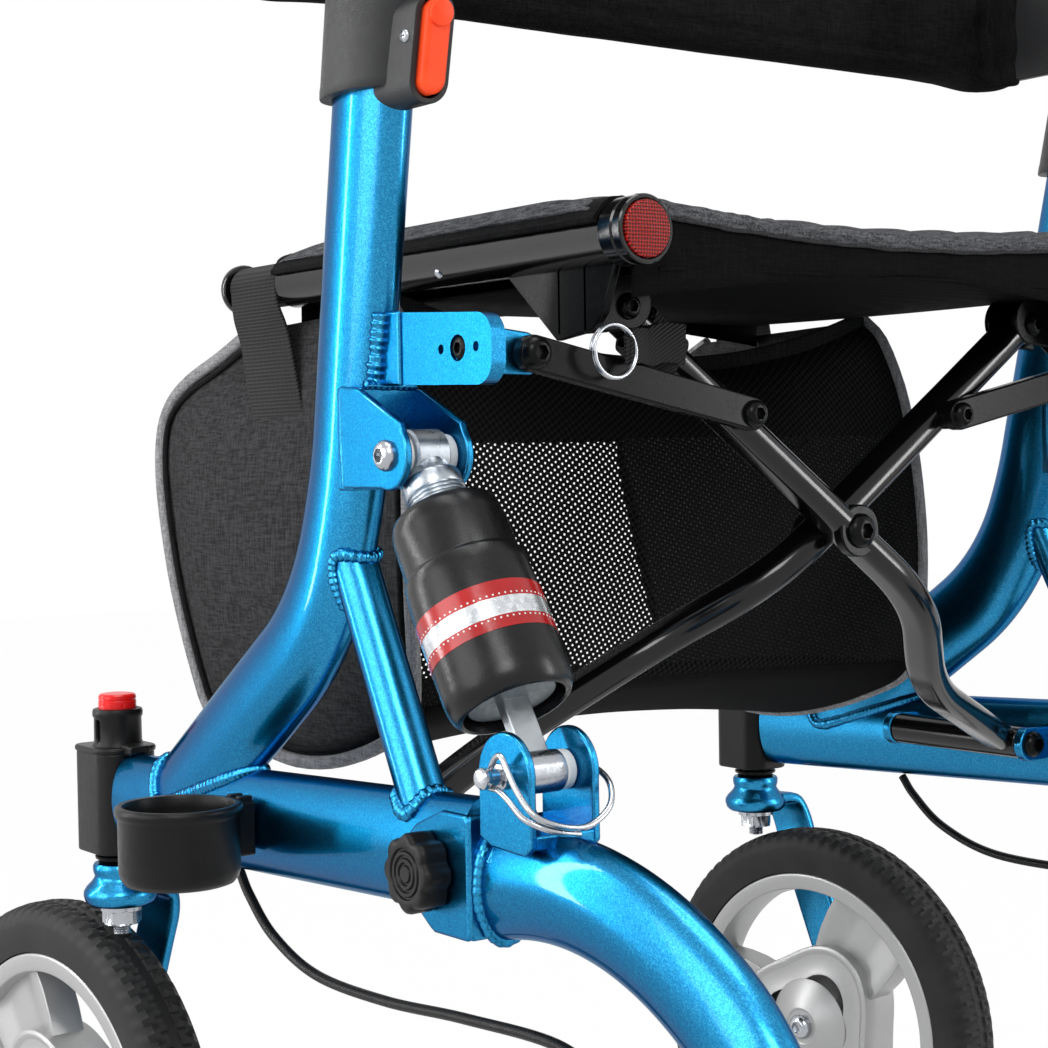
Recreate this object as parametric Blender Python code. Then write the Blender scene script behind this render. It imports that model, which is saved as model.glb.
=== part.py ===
# Side-folding rollator with sprung rear arms.
# Metres, +Z up, the user faces -Y, and +X is the user's left.
import math

import bpy
import bmesh
from mathutils import Matrix, Vector

# Main sizes
GAP = 0.0003
WELD = 0.00005
FRAME_X = 0.235
TUBE_TALL = 0.0506
TUBE_WIDE = 0.0275
TUBE_SIDES = 12
WALL = 0.0030

# Front caster, and the heights stacked on its wheel
WHEEL_RADIUS = 0.127
WHEEL_WIDE = 0.035
TRAIL = 0.056
CASTER_TURN = {"l": math.radians(187.4), "r": math.radians(7.5)}
BOLT_CLEAR = 0.0035
BOLT_END = 0.0060
BOLT_RADIUS = 0.0048
NUT_TALL = 0.0105
NUT_RADIUS = 0.0106
CUP_TALL = 0.0232
CUP_RADIUS = 0.0205
CUP_NECK = 0.0142
CUP_FLARE = 0.0135
SEAL_TALL = 0.0056
SEAL_RADIUS = 0.0138
SEAL_GAP = 0.0008
HOUSING_FLOOR = 0.0038
HOUSING_ROOF = 0.0040
HOUSING_TALL = HOUSING_FLOOR + TUBE_TALL + HOUSING_ROOF
HOUSING_HALF = 0.0175
HOUSING_CORNER = 0.0075
HOUSING_FRONT = 0.0218
CLIP_HALF = 0.0060
CLIP_THICK = 0.0040
CLIP_REACH = 0.0090
SLOT_HALF = 0.0025
SLOT_LOW = 0.0035
SLOT_TALL = 0.0115
BUTTON_RADIUS = 0.0103
BUTTON_RISE = 0.0080
BUTTON_DEPTH = 0.0105
WELL_DEPTH = 0.0140
TOWER_TALL = 0.0200
TOWER_WALL = 0.0027
STEM_RADIUS = 0.0060
LEG_INNER = 0.0262
LEG_THICK = 0.0072
LEG_HALF_TOP = 0.0170
LEG_HALF_LOW = 0.0140
LEG_BEND = 0.0220
AXLE_RADIUS = 0.0050
AXLE_BOSS = 0.0155
AXLE_HEAD = 0.0080
HUB_HALF = 0.0235
RIM_HALF = 0.0160
RIM_DEPTH = 0.0120
SPOKE_HALF = 0.0070
HUB_CORNER = 0.0580
HUB_FLAT = 0.0460
HUB_MIDDLE_HALF = 0.0140
CONE_WIDE = 0.0260
CONE_END = 0.0108
TYRE_DEPTH = 0.0273
FRONT_SIDES = 26
REAR_SIDES = 22
BOLT_LOW_Z = WHEEL_RADIUS + math.sqrt(WHEEL_RADIUS ** 2 - TRAIL ** 2) + BOLT_CLEAR
CUP_LOW_Z = BOLT_LOW_Z + BOLT_END + NUT_TALL
CUP_TOP_Z = CUP_LOW_Z + CUP_TALL
HOUSING_BOTTOM_Z = CUP_TOP_Z + SEAL_TALL + SEAL_GAP
HOUSING_TOP_Z = HOUSING_BOTTOM_Z + HOUSING_TALL
TOWER_TOP_Z = HOUSING_TOP_Z + TOWER_TALL

# Lower tube, which rises a little towards the rear
STEM_Y = -0.2547
LOW_RISE = HOUSING_FLOOR + TUBE_TALL / 2
LOW_Z = HOUSING_BOTTOM_Z + LOW_RISE
LOW_SLOPE = 0.047
LOW_START = 0.0197
LOW_FRONT_Y = STEM_Y + LOW_START
LOW_LENGTH = 0.3320

# Upright, which leans back and outwards above its bend
BEND_Y = -0.0050
BEND_RISE = 0.1884
BEND_Z = LOW_Z + BEND_RISE
LEAN = 0.203
SPLAY = 0.030
UPRIGHT_RISE = 0.2339
UPRIGHT_TOP_Z = BEND_Z + UPRIGHT_RISE
BORE_RISE = 0.0219
BEND_RADII = (0.2723, 0.1295)
BEND_ANGLES = (9.86, 34.35)
FOOT_LENGTH = 0.144
STRUT_RADIUS = 0.0107
STRUT_TOP = (-0.0090, -0.0321)
STRUT_FOOT = (-0.0250, 0.0095)

# Rear arm and its hinge
PIVOT_INSET = 0.0150
PIVOT_Y = LOW_FRONT_Y + LOW_LENGTH - PIVOT_INSET
PIVOT_RISE = 0.0113
PIVOT_Z = LOW_Z + PIVOT_RISE
PIVOT_RADIUS = 0.0040
EAR_GAP = 0.0010
EAR_THICK = 0.0035
EAR_REAR = 0.0270
EAR_HALF = 0.0260
EAR_ROUND = 0.0215
ARM_TALL = 0.0458
ARM_START = (0.0240, -0.0047)
ARM_HEADING = 13.4
ARM_RADII = (0.1674, 0.0920)
ARM_ANGLES = (48.5, 33.8)
REAR_RADIUS = 0.102
REAR_OUT = 0.0570
REAR_WHEEL_X = FRAME_X + REAR_OUT
REAR_AXLE = 0.0060
REAR_WIDE = 0.034
REAR_BOSS = 0.0260
KNOB_RADIUS = 0.0162
KNOB_THICK = 0.0130
KNOB_NUT = 0.0075

# Rear brake, placed along the arm from the axle and beside its middle line
BRAKE_AT = (0.1188, 0.0034)
BRAKE_PIN = 0.0040
BRAKE_STUB = 0.0080
BRAKE_START = 0.0225
BRAKE_THICK = 0.0050
BRAKE_ANGLE = math.radians(135)
BRAKE_TAIL = (-0.0120, 0.0280)
SHOE_RADIUS = 0.0055
SHOE_GAP = 0.0025
SHOE_REACH = 0.0140
BRAKE_REACH = REAR_RADIUS / math.cos(math.pi / REAR_SIDES) + SHOE_RADIUS + SHOE_GAP
STOP_AT = (0.1593, 0.0225)
STOP_HALF = 0.0055
STOP_OUT = 0.0045
CABLE_RADIUS = 0.0025
CABLE_START_Y = -0.1180
CABLE_SAG = ((0, -0.1080, -0.0317), (0, -0.0850, -0.0477), (0, -0.0450, -0.0592), (0, 0.0150, -0.0597),
             (0, 0.0800, -0.0547), (0.0020, 0.1500, -0.0517), (0.0150, 0.2000, -0.0597))

# Shock absorber, its upper end placed from the bend and its lower end from the pivot
SHOCK_TOP_AT = (0.0575, -0.0041)
SHOCK_LOW_AT = (0.0520, 0.0450)
SHOCK_TOP = (BEND_Y + SHOCK_TOP_AT[0], BEND_Z + SHOCK_TOP_AT[1])
SHOCK_LOW = (PIVOT_Y + SHOCK_LOW_AT[0], PIVOT_Z + SHOCK_LOW_AT[1])
CLEVIS_HALF = 0.0140
CLEVIS_THICK = 0.0035
CLEVIS_ROUND = 0.0150
CLEVIS_ROOT = ((-0.0385, 0.0310), (-0.0225, 0.0290), (0.0095, 0.0140))
CLEVIS_HEEL = (-0.0365, -0.0140)
CLEVIS_BASE = ((-0.0425, -0.0150), (-0.0315, -0.0150), (-0.0225, 0.0305), (-0.0405, 0.0305))
PIN_EAR_ROUND = 0.0175
PIN_EAR_FOOT = ((-0.0180, -0.0280), (0.0180, -0.0300))
PIN_EAR_BASE = ((-0.0175, -0.0290), (0.0175, -0.0310), (0.0175, -0.0225), (-0.0175, -0.0195))
COLLAR_RADIUS = 0.0134
COLLAR_RIB = 0.0068
SLEEVE_RADIUS = 0.0275
SHOULDER_RADIUS = 0.0245
SLEEVE_START = 0.027
SEAM = 0.056
SLEEVE_END = 0.123
SLEEVE_WALL = 0.0035
SLEEVE_MOUTH = 0.088
SLEEVE_BORE_TOP = 0.060
PIN_PLAY = 0.0005
PIN_TAIL = 0.0080
PIN_HEAD = 0.0068
ROD_RADIUS = 0.0080
ROD_TOP = 0.078
ROD_LENGTH = 0.028
ROD_DISC = 0.0160
BLADE_WIDE = 0.0136
BLADE_THICK = 0.0052
BAIL_WIRE = 0.0013
BAIL_DROP = 0.0180
BAIL_REACH = 0.0260

# Cross brace
CENTRE_RISE = 0.1446
CROSS_Z = LOW_Z + CENTRE_RISE
CROSS_REAR_Y = 0.0720
CROSS_TALL = 0.0210
CROSS_THICK = 0.0150
CROSS_PLAY = 0.0005
CROSS_Y = {"a": CROSS_REAR_Y, "b": CROSS_REAR_Y - CROSS_THICK - CROSS_PLAY}
CROSS_REACH = 0.149
CROSS_RISE = 0.1080
CROSS_PIN = 0.0045
CROSS_BOSS = 0.0120
CROSS_NUT = 0.0085
CROSS_ROUND = 0.030
CROSS_BENDS = {
    "a": ((-0.0500, 0, -0.0363), (-0.1030, -0.0450, -0.0873)),
    "b": ((0.0300, 0, -0.0193), (0.0690, -0.0495, -0.0548), (0.1600, -0.0645, -0.1003)),
}
CROSS_FOOT_Y = -0.0120
SADDLE_SHARE = 0.965
SADDLE_PIN = 0.0034
SADDLE_THICK = 0.0032
SADDLE_ROUND = 0.0125
LINK_X = 0.0780
LINK_RISE = 0.0564
LINK_Z = CROSS_Z + LINK_RISE
TONGUE_REACH = 0.0330
LINK_OUT_X = FRAME_X - TONGUE_REACH
LINK_SLOPE_RISE = 0.0258
LINK_OUT_Z = LINK_Z + LINK_SLOPE_RISE
LINK_TALL = 0.0150
LINK_THICK = 0.0080
LINK_GAP = 0.0050
LINK_PIN = 0.0035
TONGUE_THICK = 0.0060
TONGUE_ROUND = 0.0095
PLATE_HALF = 0.0165
PLATE_RISE = 0.0045
PLATE_THICK = 0.0080
PLATE_FRONT = 0.0200
PLATE_REAR_Y = 0.1200
PLATE_CORNER = 0.0120
PLATE_HOLES = ((0.0744, 0.0022), (0.1001, 0.0022), (0.0868, 0.0046))
HINGE_RADIUS = 0.0092
HINGE_PIN = 0.0040
HINGE_CLEAR = 0.0028
HINGE_RISE = 0.0143
HINGE_FRONT_Y = -0.0970
HINGE_REAR_Y = 0.0060
LUG_THICK = 0.0060

# Seat
RAIL_X = 0.165
RAIL_RISE = 0.1307
RAIL_Z = CROSS_Z + RAIL_RISE
RAIL_RADIUS = 0.0135
RAIL_FRONT_Y = -0.172
RAIL_REAR_Y = 0.122
NECK_RADIUS = 0.0090
NECK_LENGTH = 0.054
STOP_RADIUS = 0.0140
STOP_THICK = 0.0085
RIM_THICK = 0.0012
RIM_LENGTH = 0.0080
LENS_SEAT = 0.0030
GUSSET = ((-0.0520, -0.0100), (0.0440, -0.0100), (0.0260, -0.0380), (-0.0120, -0.0410))
GUSSET_HALF = 0.0020
LOBE_DROP = 0.0390
SEAT_CLOTH = 0.0034
SEAT_SAG = 0.0100
SEAT_FILL = 0.0160
STRAP_AT = 0.1500
STRAP_THICK = 0.0022
STRAP_HALF = 0.0130
RING_RADIUS = 0.0105
RING_WIRE = 0.0011
RING_DROP = 0.0505
RING_BEHIND = 0.0270

# Handles
HANDLE_PLAY = 0.0003
HANDLE_TALL = TUBE_TALL - 2 * WALL - 2 * HANDLE_PLAY
HANDLE_WIDE = TUBE_WIDE - 2 * WALL - 2 * HANDLE_PLAY
HANDLE_IN = 0.1670
HANDLE_BOTTOM_Z = UPRIGHT_TOP_Z - HANDLE_IN
HANDLE_OUT = 0.1180
HANDLE_TOP_Z = UPRIGHT_TOP_Z + HANDLE_OUT
HEAD_LOW = 0.0220
HEAD_MIDDLE = 0.0200
HEAD_TOP = 0.0500
GRIP_RISE = 0.0350
GRIP_Z = HANDLE_TOP_Z + GRIP_RISE
GRIP_RADIUS = 0.0165
GRIP_LENGTH = 0.118
GRIP_START = 0.028
BAR_RADIUS = 0.0110
BAR_LENGTH = 0.140
LEVER_PIN = 0.0030
LEVER_EAR = ((0.0100, -0.0120), (0.0100, -0.0420), (0.0400, -0.0420), (0.0460, -0.0120))
LEVER_PIVOT_AT = (0.0340, -0.0320)
LEVER_EAR_OUT = 0.0105
LEVER_EAR_HALF = 0.0020
LEVER_SPINE = ((0, 0), (0.0300, -0.0060), (0.0600, -0.0080), (0.1300, 0.0020))
COLLAR_DEPTH = 0.0810
COLLAR_LOW_Z = UPRIGHT_TOP_Z - COLLAR_DEPTH
COLLAR_OVER = 0.0100
COLLAR_TOP_Z = UPRIGHT_TOP_Z + COLLAR_OVER
COLLAR_WALL = 0.0060
CAM_RISE = 0.0315
CAM_OUT = 0.0406
CAM_HALF = 0.0079
CAM_ROUND = 0.0072
CAM_SHAPE = ((-0.0075, -0.0045), (-0.0135, -0.0355), (-0.0090, -0.0385), (-0.0040, -0.0355), (0.0055, -0.0085))
CHEEK_GAP = 0.0005
CHEEK_THICK = 0.0048
CHEEK_SHAPE = ((-0.0280, -0.0345), (-0.0130, -0.0360), (-0.0040, -0.0285), (0.0060, -0.0005), (0.0010, 0.0080),
               (-0.0230, 0.0095))

# Backrest, and the arm plate that its folded ends sit on
BACK_Y = -0.060
BACK_RISE = 0.0550
BACK_LOW_Z = COLLAR_LOW_Z + BACK_RISE
BACK_TALL = 0.088
BACK_HALF = 0.255
BACK_THICK = 0.022
BACK_RETURN = 0.034
BACK_BOW = 0.004
ARM_PLATE_OUT = 0.0155
ARM_PLATE_THICK = 0.0050
ARM_PLATE_FRONT = 0.0130
ARM_PLATE_LENGTH = 0.0670
ARM_PLATE_LOW = 0.0060
ARM_PLATE_TALL = 0.0500
ARM_PLATE_PLAY = 0.0040

# Bag: its side outline, measured from the seat rail's front end
BAG_SIDE = ((-0.1110, -0.0450), (-0.1420, -0.0660), (-0.1420, -0.0900), (-0.1040, -0.2160), (-0.0830, -0.2400),
            (-0.0010, -0.2520), (0.0940, -0.2340), (0.1250, -0.2050), (0.1230, -0.0850), (0.0940, -0.0200),
            (-0.0500, -0.0230))
BAG_MIDDLE = (-0.0030, -0.1250)
BAG_HALF = 0.166
BAG_BULGE = 0.010
BAG_PANEL = 0.55
BAG_FABRIC = 0.0025
BAG_MOUTH = 0.030
BAG_SAG = 0.026
STRAP_HALF_WIDE = 0.0240
STRAP_HALF_THICK = 0.0014
STRAP_DROP = 0.105

# Cane cup, beside the left lower tube
CANE_Y = -0.0830
CANE_RADIUS = 0.0300
CANE_WALL = 0.0026
CANE_DROP = 0.0197
CANE_TALL = 0.0400
CANE_STAND = 0.0075

# Colours
PAINTS = {
    "blue": ((0.010, 0.165, 0.560), 0.28, 0.75),
    "black_metal": ((0.012, 0.012, 0.013), 0.38, 0.30),
    "black_plastic": ((0.016, 0.016, 0.017), 0.55, 0.0),
    "grey_plastic": ((0.050, 0.052, 0.056), 0.60, 0.0),
    "silver_plastic": ((0.420, 0.420, 0.410), 0.45, 0.2),
    "steel": ((0.560, 0.560, 0.570), 0.30, 1.0),
    "rubber": ((0.018, 0.018, 0.019), 0.75, 0.0),
    "red": ((0.620, 0.010, 0.012), 0.35, 0.0),
    "orange": ((0.900, 0.090, 0.015), 0.40, 0.0),
    "fabric": ((0.030, 0.031, 0.034), 0.90, 0.0),
}


def clear_scene():
    for old in list(bpy.data.objects):
        bpy.data.objects.remove(old, do_unlink=True)


def paint(name):
    material = bpy.data.materials.get(name)
    if material is None:
        colour, roughness, metallic = PAINTS[name]
        material = bpy.data.materials.new(name)
        material.use_nodes = True
        shader = material.node_tree.nodes["Principled BSDF"]
        shader.inputs["Base Color"].default_value = (*colour, 1.0)
        shader.inputs["Roughness"].default_value = roughness
        shader.inputs["Metallic"].default_value = metallic
    return material


# Solids

def wrap(bm):
    """Turns a finished bmesh into a scene object with outward faces."""
    bmesh.ops.recalc_face_normals(bm, faces=bm.faces)
    mesh = bpy.data.meshes.new("solid")
    bm.to_mesh(mesh)
    bm.free()
    solid = bpy.data.objects.new("solid", mesh)
    bpy.context.scene.collection.objects.link(solid)
    return solid


def skin(rings, closed=False):
    """Joins rings of points, in order, into one closed surface."""
    bm = bmesh.new()
    loops = [[bm.verts.new(point) for point in ring] for ring in rings]
    pairs = list(zip(loops[:-1], loops[1:]))
    if closed:
        pairs.append((loops[-1], loops[0]))
    for near, far in pairs:
        count = max(len(near), len(far))
        for i in range(count):
            j = (i + 1) % count
            corners = [near[i % len(near)], near[j % len(near)], far[j % len(far)], far[i % len(far)]]
            corners = list(dict.fromkeys(corners))
            if len(corners) > 2:
                bm.faces.new(corners)
    if not closed:
        for end in (loops[0], loops[-1]):
            if len(end) > 2:
                bm.faces.new(end)
    return wrap(bm)


def ellipse(tall, wide, sides=TUBE_SIDES):
    turns = [2 * math.pi * k / sides for k in range(sides)]
    return [(tall / 2 * math.cos(t), wide / 2 * math.sin(t)) for t in turns]


def oblong(tall, wide, sides=10):
    """A flat-sided oval: two half circles joined by straight runs."""
    radius = min(tall, wide) / 2
    half = sides // 2
    ends = []
    for k in range(half):
        t = -math.pi / 2 + math.pi * k / (half - 1)
        ends.append((tall / 2 - radius + radius * math.cos(t), radius * math.sin(t)))
    if tall < wide:
        ends = [(b, a) for a, b in oblong(wide, tall, sides)[:half]]
    return ends + [(-a, -b) for a, b in ends]


def sweep(points, section, side=Vector((1, 0, 0)), closed=False):
    """Carries a section (first value across the run, second along side) through the points."""
    points = [Vector(point) for point in points]
    rings = []
    count = len(points)
    for i, point in enumerate(points):
        if closed:
            tangent = points[(i + 1) % count] - points[i - 1]
        else:
            tangent = points[min(i + 1, count - 1)] - points[max(i - 1, 0)]
        tangent.normalize()
        along = (side - tangent * side.dot(tangent)).normalized()
        across = tangent.cross(along)
        rings.append([point + across * a + along * b for a, b in section])
    return skin(rings, closed)


def turn(profile, centre, axis, sides=12, closed=False):
    """Spins (radius, distance along the axis) pairs about the axis."""
    axis = Vector(axis).normalized()
    helper = Vector((0, 0, 1)) if abs(axis.z) < 0.9 else Vector((1, 0, 0))
    first = axis.cross(helper).normalized()
    second = axis.cross(first)
    rings = []
    for radius, along in profile:
        middle = Vector(centre) + axis * along
        if radius == 0:
            rings.append([middle])
            continue
        turns = [2 * math.pi * k / sides for k in range(sides)]
        rings.append([middle + (first * math.cos(t) + second * math.sin(t)) * radius for t in turns])
    return skin(rings, closed)


def rod(start, end, radius, sides=8):
    start, end = Vector(start), Vector(end)
    length = (end - start).length
    return turn([(radius, 0), (radius, length)], start, end - start, sides)


def drill(start, end, radius, sides=6):
    """A cutter whose flats leave the gap round a pin of this radius."""
    return rod(start, end, (radius + GAP) / math.cos(math.pi / sides), sides)


def tube(start, end, outer, inner, sides=12):
    start, end = Vector(start), Vector(end)
    length = (end - start).length
    profile = [(inner, 0), (outer, 0), (outer, length), (inner, length)]
    return turn(profile, start, end - start, sides, closed=True)


def slab(outline, low, high, plane):
    """Extrudes a flat outline. Plane "yz" extrudes along X, "xz" along Y and "xy" along Z."""
    spots = {
        "yz": lambda a, b, c: Vector((c, a, b)),
        "xz": lambda a, b, c: Vector((a, c, b)),
        "xy": lambda a, b, c: Vector((a, b, c)),
    }[plane]
    return skin([[spots(a, b, low) for a, b in outline], [spots(a, b, high) for a, b in outline]])


def box(low, high):
    return slab([(low[0], low[1]), (high[0], low[1]), (high[0], high[1]), (low[0], high[1])],
                low[2], high[2], "xy")


def arc(centre, radius, start, end, steps):
    """Points on an arc, angles in degrees."""
    points = []
    for k in range(steps + 1):
        t = math.radians(start + (end - start) * k / steps)
        points.append((centre[0] + radius * math.cos(t), centre[1] + radius * math.sin(t)))
    return points


def rounded_box(half_a, half_b, radius, centre=(0, 0), steps=2):
    """Outline of a rectangle with round corners."""
    corners = [(1, 1, 0), (-1, 1, 90), (-1, -1, 180), (1, -1, 270)]
    points = []
    for a, b, start in corners:
        middle = (centre[0] + a * (half_a - radius), centre[1] + b * (half_b - radius))
        points += arc(middle, radius, start, start + 90, steps)
    return points


def trace(start, heading, runs, step=10.0):
    """Walks in the Y-Z plane: each run is a length or a (radius, turn to the right) pair."""
    y, z = start
    angle = math.radians(heading)
    points = [(y, z)]
    for run in runs:
        if not isinstance(run, tuple):
            y += run * math.cos(angle)
            z += run * math.sin(angle)
            points.append((y, z))
            continue
        radius, swing = run
        middle = (y + radius * math.sin(angle), z - radius * math.cos(angle))
        steps = max(2, round(swing / step))
        for k in range(1, steps + 1):
            t = angle - math.radians(swing) * k / steps
            points.append((middle[0] - radius * math.sin(t), middle[1] + radius * math.cos(t)))
        angle -= math.radians(swing)
        y, z = points[-1]
    return points


def fillet(points, radius, steps=3):
    """Rounds the inner corners of a run of points with quadratic curves."""
    points = [Vector(point) for point in points]
    smooth = [points[0]]
    for before, corner, after in zip(points[:-2], points[1:-1], points[2:]):
        reach = min(radius, (before - corner).length * 0.48, (after - corner).length * 0.48)
        start = corner + (before - corner).normalized() * reach
        end = corner + (after - corner).normalized() * reach
        for k in range(steps + 1):
            t = k / steps
            smooth.append(start * (1 - t) ** 2 + corner * 2 * t * (1 - t) + end * t ** 2)
    smooth.append(points[-1])
    return smooth


def combine(base, tools, operation):
    """Applies exact Booleans to the base, one tool after another."""
    for tool in tools:
        modifier = base.modifiers.new("solid", "BOOLEAN")
        modifier.operation = operation
        modifier.solver = "EXACT"
        modifier.object = tool
        settle(base)
        bpy.data.objects.remove(tool, do_unlink=True)
    return base


def settle(solid):
    """Applies the modifiers of a solid."""
    bpy.context.view_layer.update()
    depsgraph = bpy.context.evaluated_depsgraph_get()
    mesh = bpy.data.meshes.new_from_object(solid.evaluated_get(depsgraph))
    solid.modifiers.clear()
    solid.data = mesh


def join(base, *tools):
    return combine(base, tools, "UNION")


def cut(base, *tools):
    return combine(base, tools, "DIFFERENCE")


def soften(solid, width, segments=1, angle=35):
    """Bevels the sharp edges of a solid."""
    modifier = solid.modifiers.new("edge", "BEVEL")
    modifier.width = width
    modifier.segments = segments
    modifier.limit_method = "ANGLE"
    modifier.angle_limit = math.radians(angle)
    settle(solid)
    return solid


def simplify(mesh):
    """Merges coplanar faces and drops points in the middle of straight edges."""
    bm = bmesh.new()
    bm.from_mesh(mesh)
    bmesh.ops.remove_doubles(bm, verts=bm.verts, dist=WELD)
    bmesh.ops.dissolve_limit(bm, angle_limit=math.radians(1.0), verts=bm.verts, edges=bm.edges)
    bm.to_mesh(mesh)
    bm.free()


def finish(solid, name, colour, origin=(0, 0, 0), side=None, smooth=38):
    """Names, colours and mirrors a solid, and puts its origin where it turns."""
    mesh = solid.data
    simplify(mesh)
    origin = Vector(origin)
    if side == "r":
        mesh.transform(Matrix.Scale(-1, 4, Vector((1, 0, 0))))
        mesh.flip_normals()
        origin.x = -origin.x
    mesh.transform(Matrix.Translation(-origin))
    solid.location = origin
    full = name if side is None else f"{name}_{side}"
    solid.name = full
    mesh.name = full
    mesh.materials.clear()
    mesh.materials.append(paint(colour))
    mesh.shade_smooth()
    mesh.set_sharp_from_angle(angle=math.radians(smooth))
    return solid


# Places that several pieces share

def low_z(y):
    return LOW_Z + LOW_SLOPE * (y - STEM_Y)


def up_point(z):
    rise = z - BEND_Z
    return Vector((FRAME_X + SPLAY * rise, BEND_Y + LEAN * rise, z))


def up_sweep(low, high, section):
    return sweep([up_point(low), up_point(high)], section)


def across_frame(y, z, start, end, radius, sides=10):
    """A round bar along X, its ends measured from the middle plane of a side frame."""
    return rod((FRAME_X + start, y, z), (FRAME_X + end, y, z), radius, sides)


def cross_drill(y, z, radius):
    """A drill along X, right through a side frame at one place."""
    return drill((FRAME_X - 0.03, y, z), (FRAME_X + 0.03, y, z), radius)


def about(centre, offsets):
    """Places (Y, Z) offsets round a centre."""
    return [(centre[0] + a, centre[1] + b) for a, b in offsets]


def arm_points():
    """The arm's middle line in the Y-Z plane, ending on the rear axle."""
    start = (PIVOT_Y + ARM_START[0], PIVOT_Z + ARM_START[1])
    points = trace(start, ARM_HEADING, [*zip(ARM_RADII, ARM_ANGLES)])
    drop = math.radians(sum(ARM_ANGLES) - ARM_HEADING)
    y, z = points[-1]
    points.append((y + (z - REAR_RADIUS) / math.tan(drop), REAR_RADIUS))
    return points


def beside_arm(distance, offset):
    """A place at a distance back along the arm from the axle, and beside its middle line."""
    points = [Vector(point) for point in reversed(arm_points())]
    for near, far in zip(points[:-1], points[1:]):
        length = (far - near).length
        if distance <= length:
            break
        distance -= length
    along = (far - near).normalized()
    spot = near + along * distance + Vector((-along.y, along.x)) * offset
    return (spot.x, spot.y)


HINGE_X = FRAME_X - TUBE_WIDE / 2 - HINGE_CLEAR - HINGE_RADIUS
HINGE_Z = LOW_Z + HINGE_RISE
AXLE_Y = arm_points()[-1][0]
BRAKE_PIVOT = beside_arm(*BRAKE_AT)
CABLE_STOP = beside_arm(*STOP_AT)
SHOCK_DIRECTION = (Vector((0, *SHOCK_LOW)) - Vector((0, *SHOCK_TOP))).normalized()
SHOCK_CENTRE = Vector((FRAME_X, *SHOCK_TOP))
TONGUE_GAP = 0.0004
CAM_PIVOT = (up_point(COLLAR_LOW_Z + CAM_RISE).y + CAM_OUT, COLLAR_LOW_Z + CAM_RISE)
CAM_X = up_point(COLLAR_LOW_Z + CAM_RISE / 2).x


# Side frame

def side_frame(side):
    heading = math.degrees(math.atan2(-1, -LEAN))
    bend = trace((BEND_Y, BEND_Z), heading, [*zip(BEND_RADII, BEND_ANGLES), FOOT_LENGTH])
    points = [up_point(UPRIGHT_TOP_Z)] + [Vector((FRAME_X, y, z)) for y, z in bend]
    frame = sweep(points, ellipse(TUBE_TALL, TUBE_WIDE * 0.985))
    low_run = [(FRAME_X, y, low_z(y)) for y in (LOW_FRONT_Y, LOW_FRONT_Y + LOW_LENGTH)]
    low_tube = sweep(low_run, ellipse(TUBE_TALL, TUBE_WIDE))
    strut_top = (FRAME_X, BEND_Y + STRUT_TOP[0], BEND_Z + STRUT_TOP[1])
    strut_foot = (FRAME_X, PIVOT_Y + STRUT_FOOT[0], PIVOT_Z + STRUT_FOOT[1])
    strut = rod(strut_top, strut_foot, STRUT_RADIUS)
    join(frame, low_tube, strut)
    add_shock_bracket(frame)
    add_link_bracket(frame, side)
    for y in (HINGE_FRONT_Y, HINGE_REAR_Y):
        join(frame, hinge_lug(y))
    bore = ellipse(TUBE_TALL - 2 * WALL, TUBE_WIDE - 2 * WALL)
    cut(frame, up_sweep(BEND_Z + BORE_RISE, UPRIGHT_TOP_Z + 0.01, bore))
    cut(frame, cross_drill(PIVOT_Y, PIVOT_Z, PIVOT_RADIUS))
    join(frame, rod((HINGE_X, HINGE_FRONT_Y, HINGE_Z), (HINGE_X, HINGE_REAR_Y, HINGE_Z), HINGE_PIN))
    for y, way in ((HINGE_FRONT_Y, -1), (HINGE_REAR_Y, 1)):
        face = y + way * (LUG_THICK / 2 - 0.0005)
        join(frame, bolt_head((HINGE_X, face, HINGE_Z), (0, way, 0), HINGE_PIN + 0.0035, 0.0050))
    finish(frame, "side_frame", "blue", (FRAME_X, PIVOT_Y, PIVOT_Z), side)


def hinge_lug(y):
    outline = arc((HINGE_X, HINGE_Z), HINGE_RADIUS + 0.001, 110, 250, 5)
    outline += [(FRAME_X - 0.006, HINGE_Z - 0.009), (FRAME_X - 0.006, HINGE_Z + 0.009)]
    return slab(outline, y - LUG_THICK / 2, y + LUG_THICK / 2, "xz")


def add_shock_bracket(frame):
    outline = about(SHOCK_TOP, CLEVIS_ROOT) + arc(SHOCK_TOP, CLEVIS_ROUND, 40, -110, 4)
    outline += about(SHOCK_TOP, [CLEVIS_HEEL])
    for way in (-1, 1):
        near = FRAME_X + way * CLEVIS_HALF
        far = near + way * CLEVIS_THICK
        join(frame, slab(outline, min(near, far), max(near, far), "yz"))
    reach = CLEVIS_HALF + CLEVIS_THICK
    join(frame, slab(about(SHOCK_TOP, CLEVIS_BASE), FRAME_X - reach, FRAME_X + reach, "yz"))
    cut(frame, cross_drill(*SHOCK_TOP, PIVOT_RADIUS))


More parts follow.
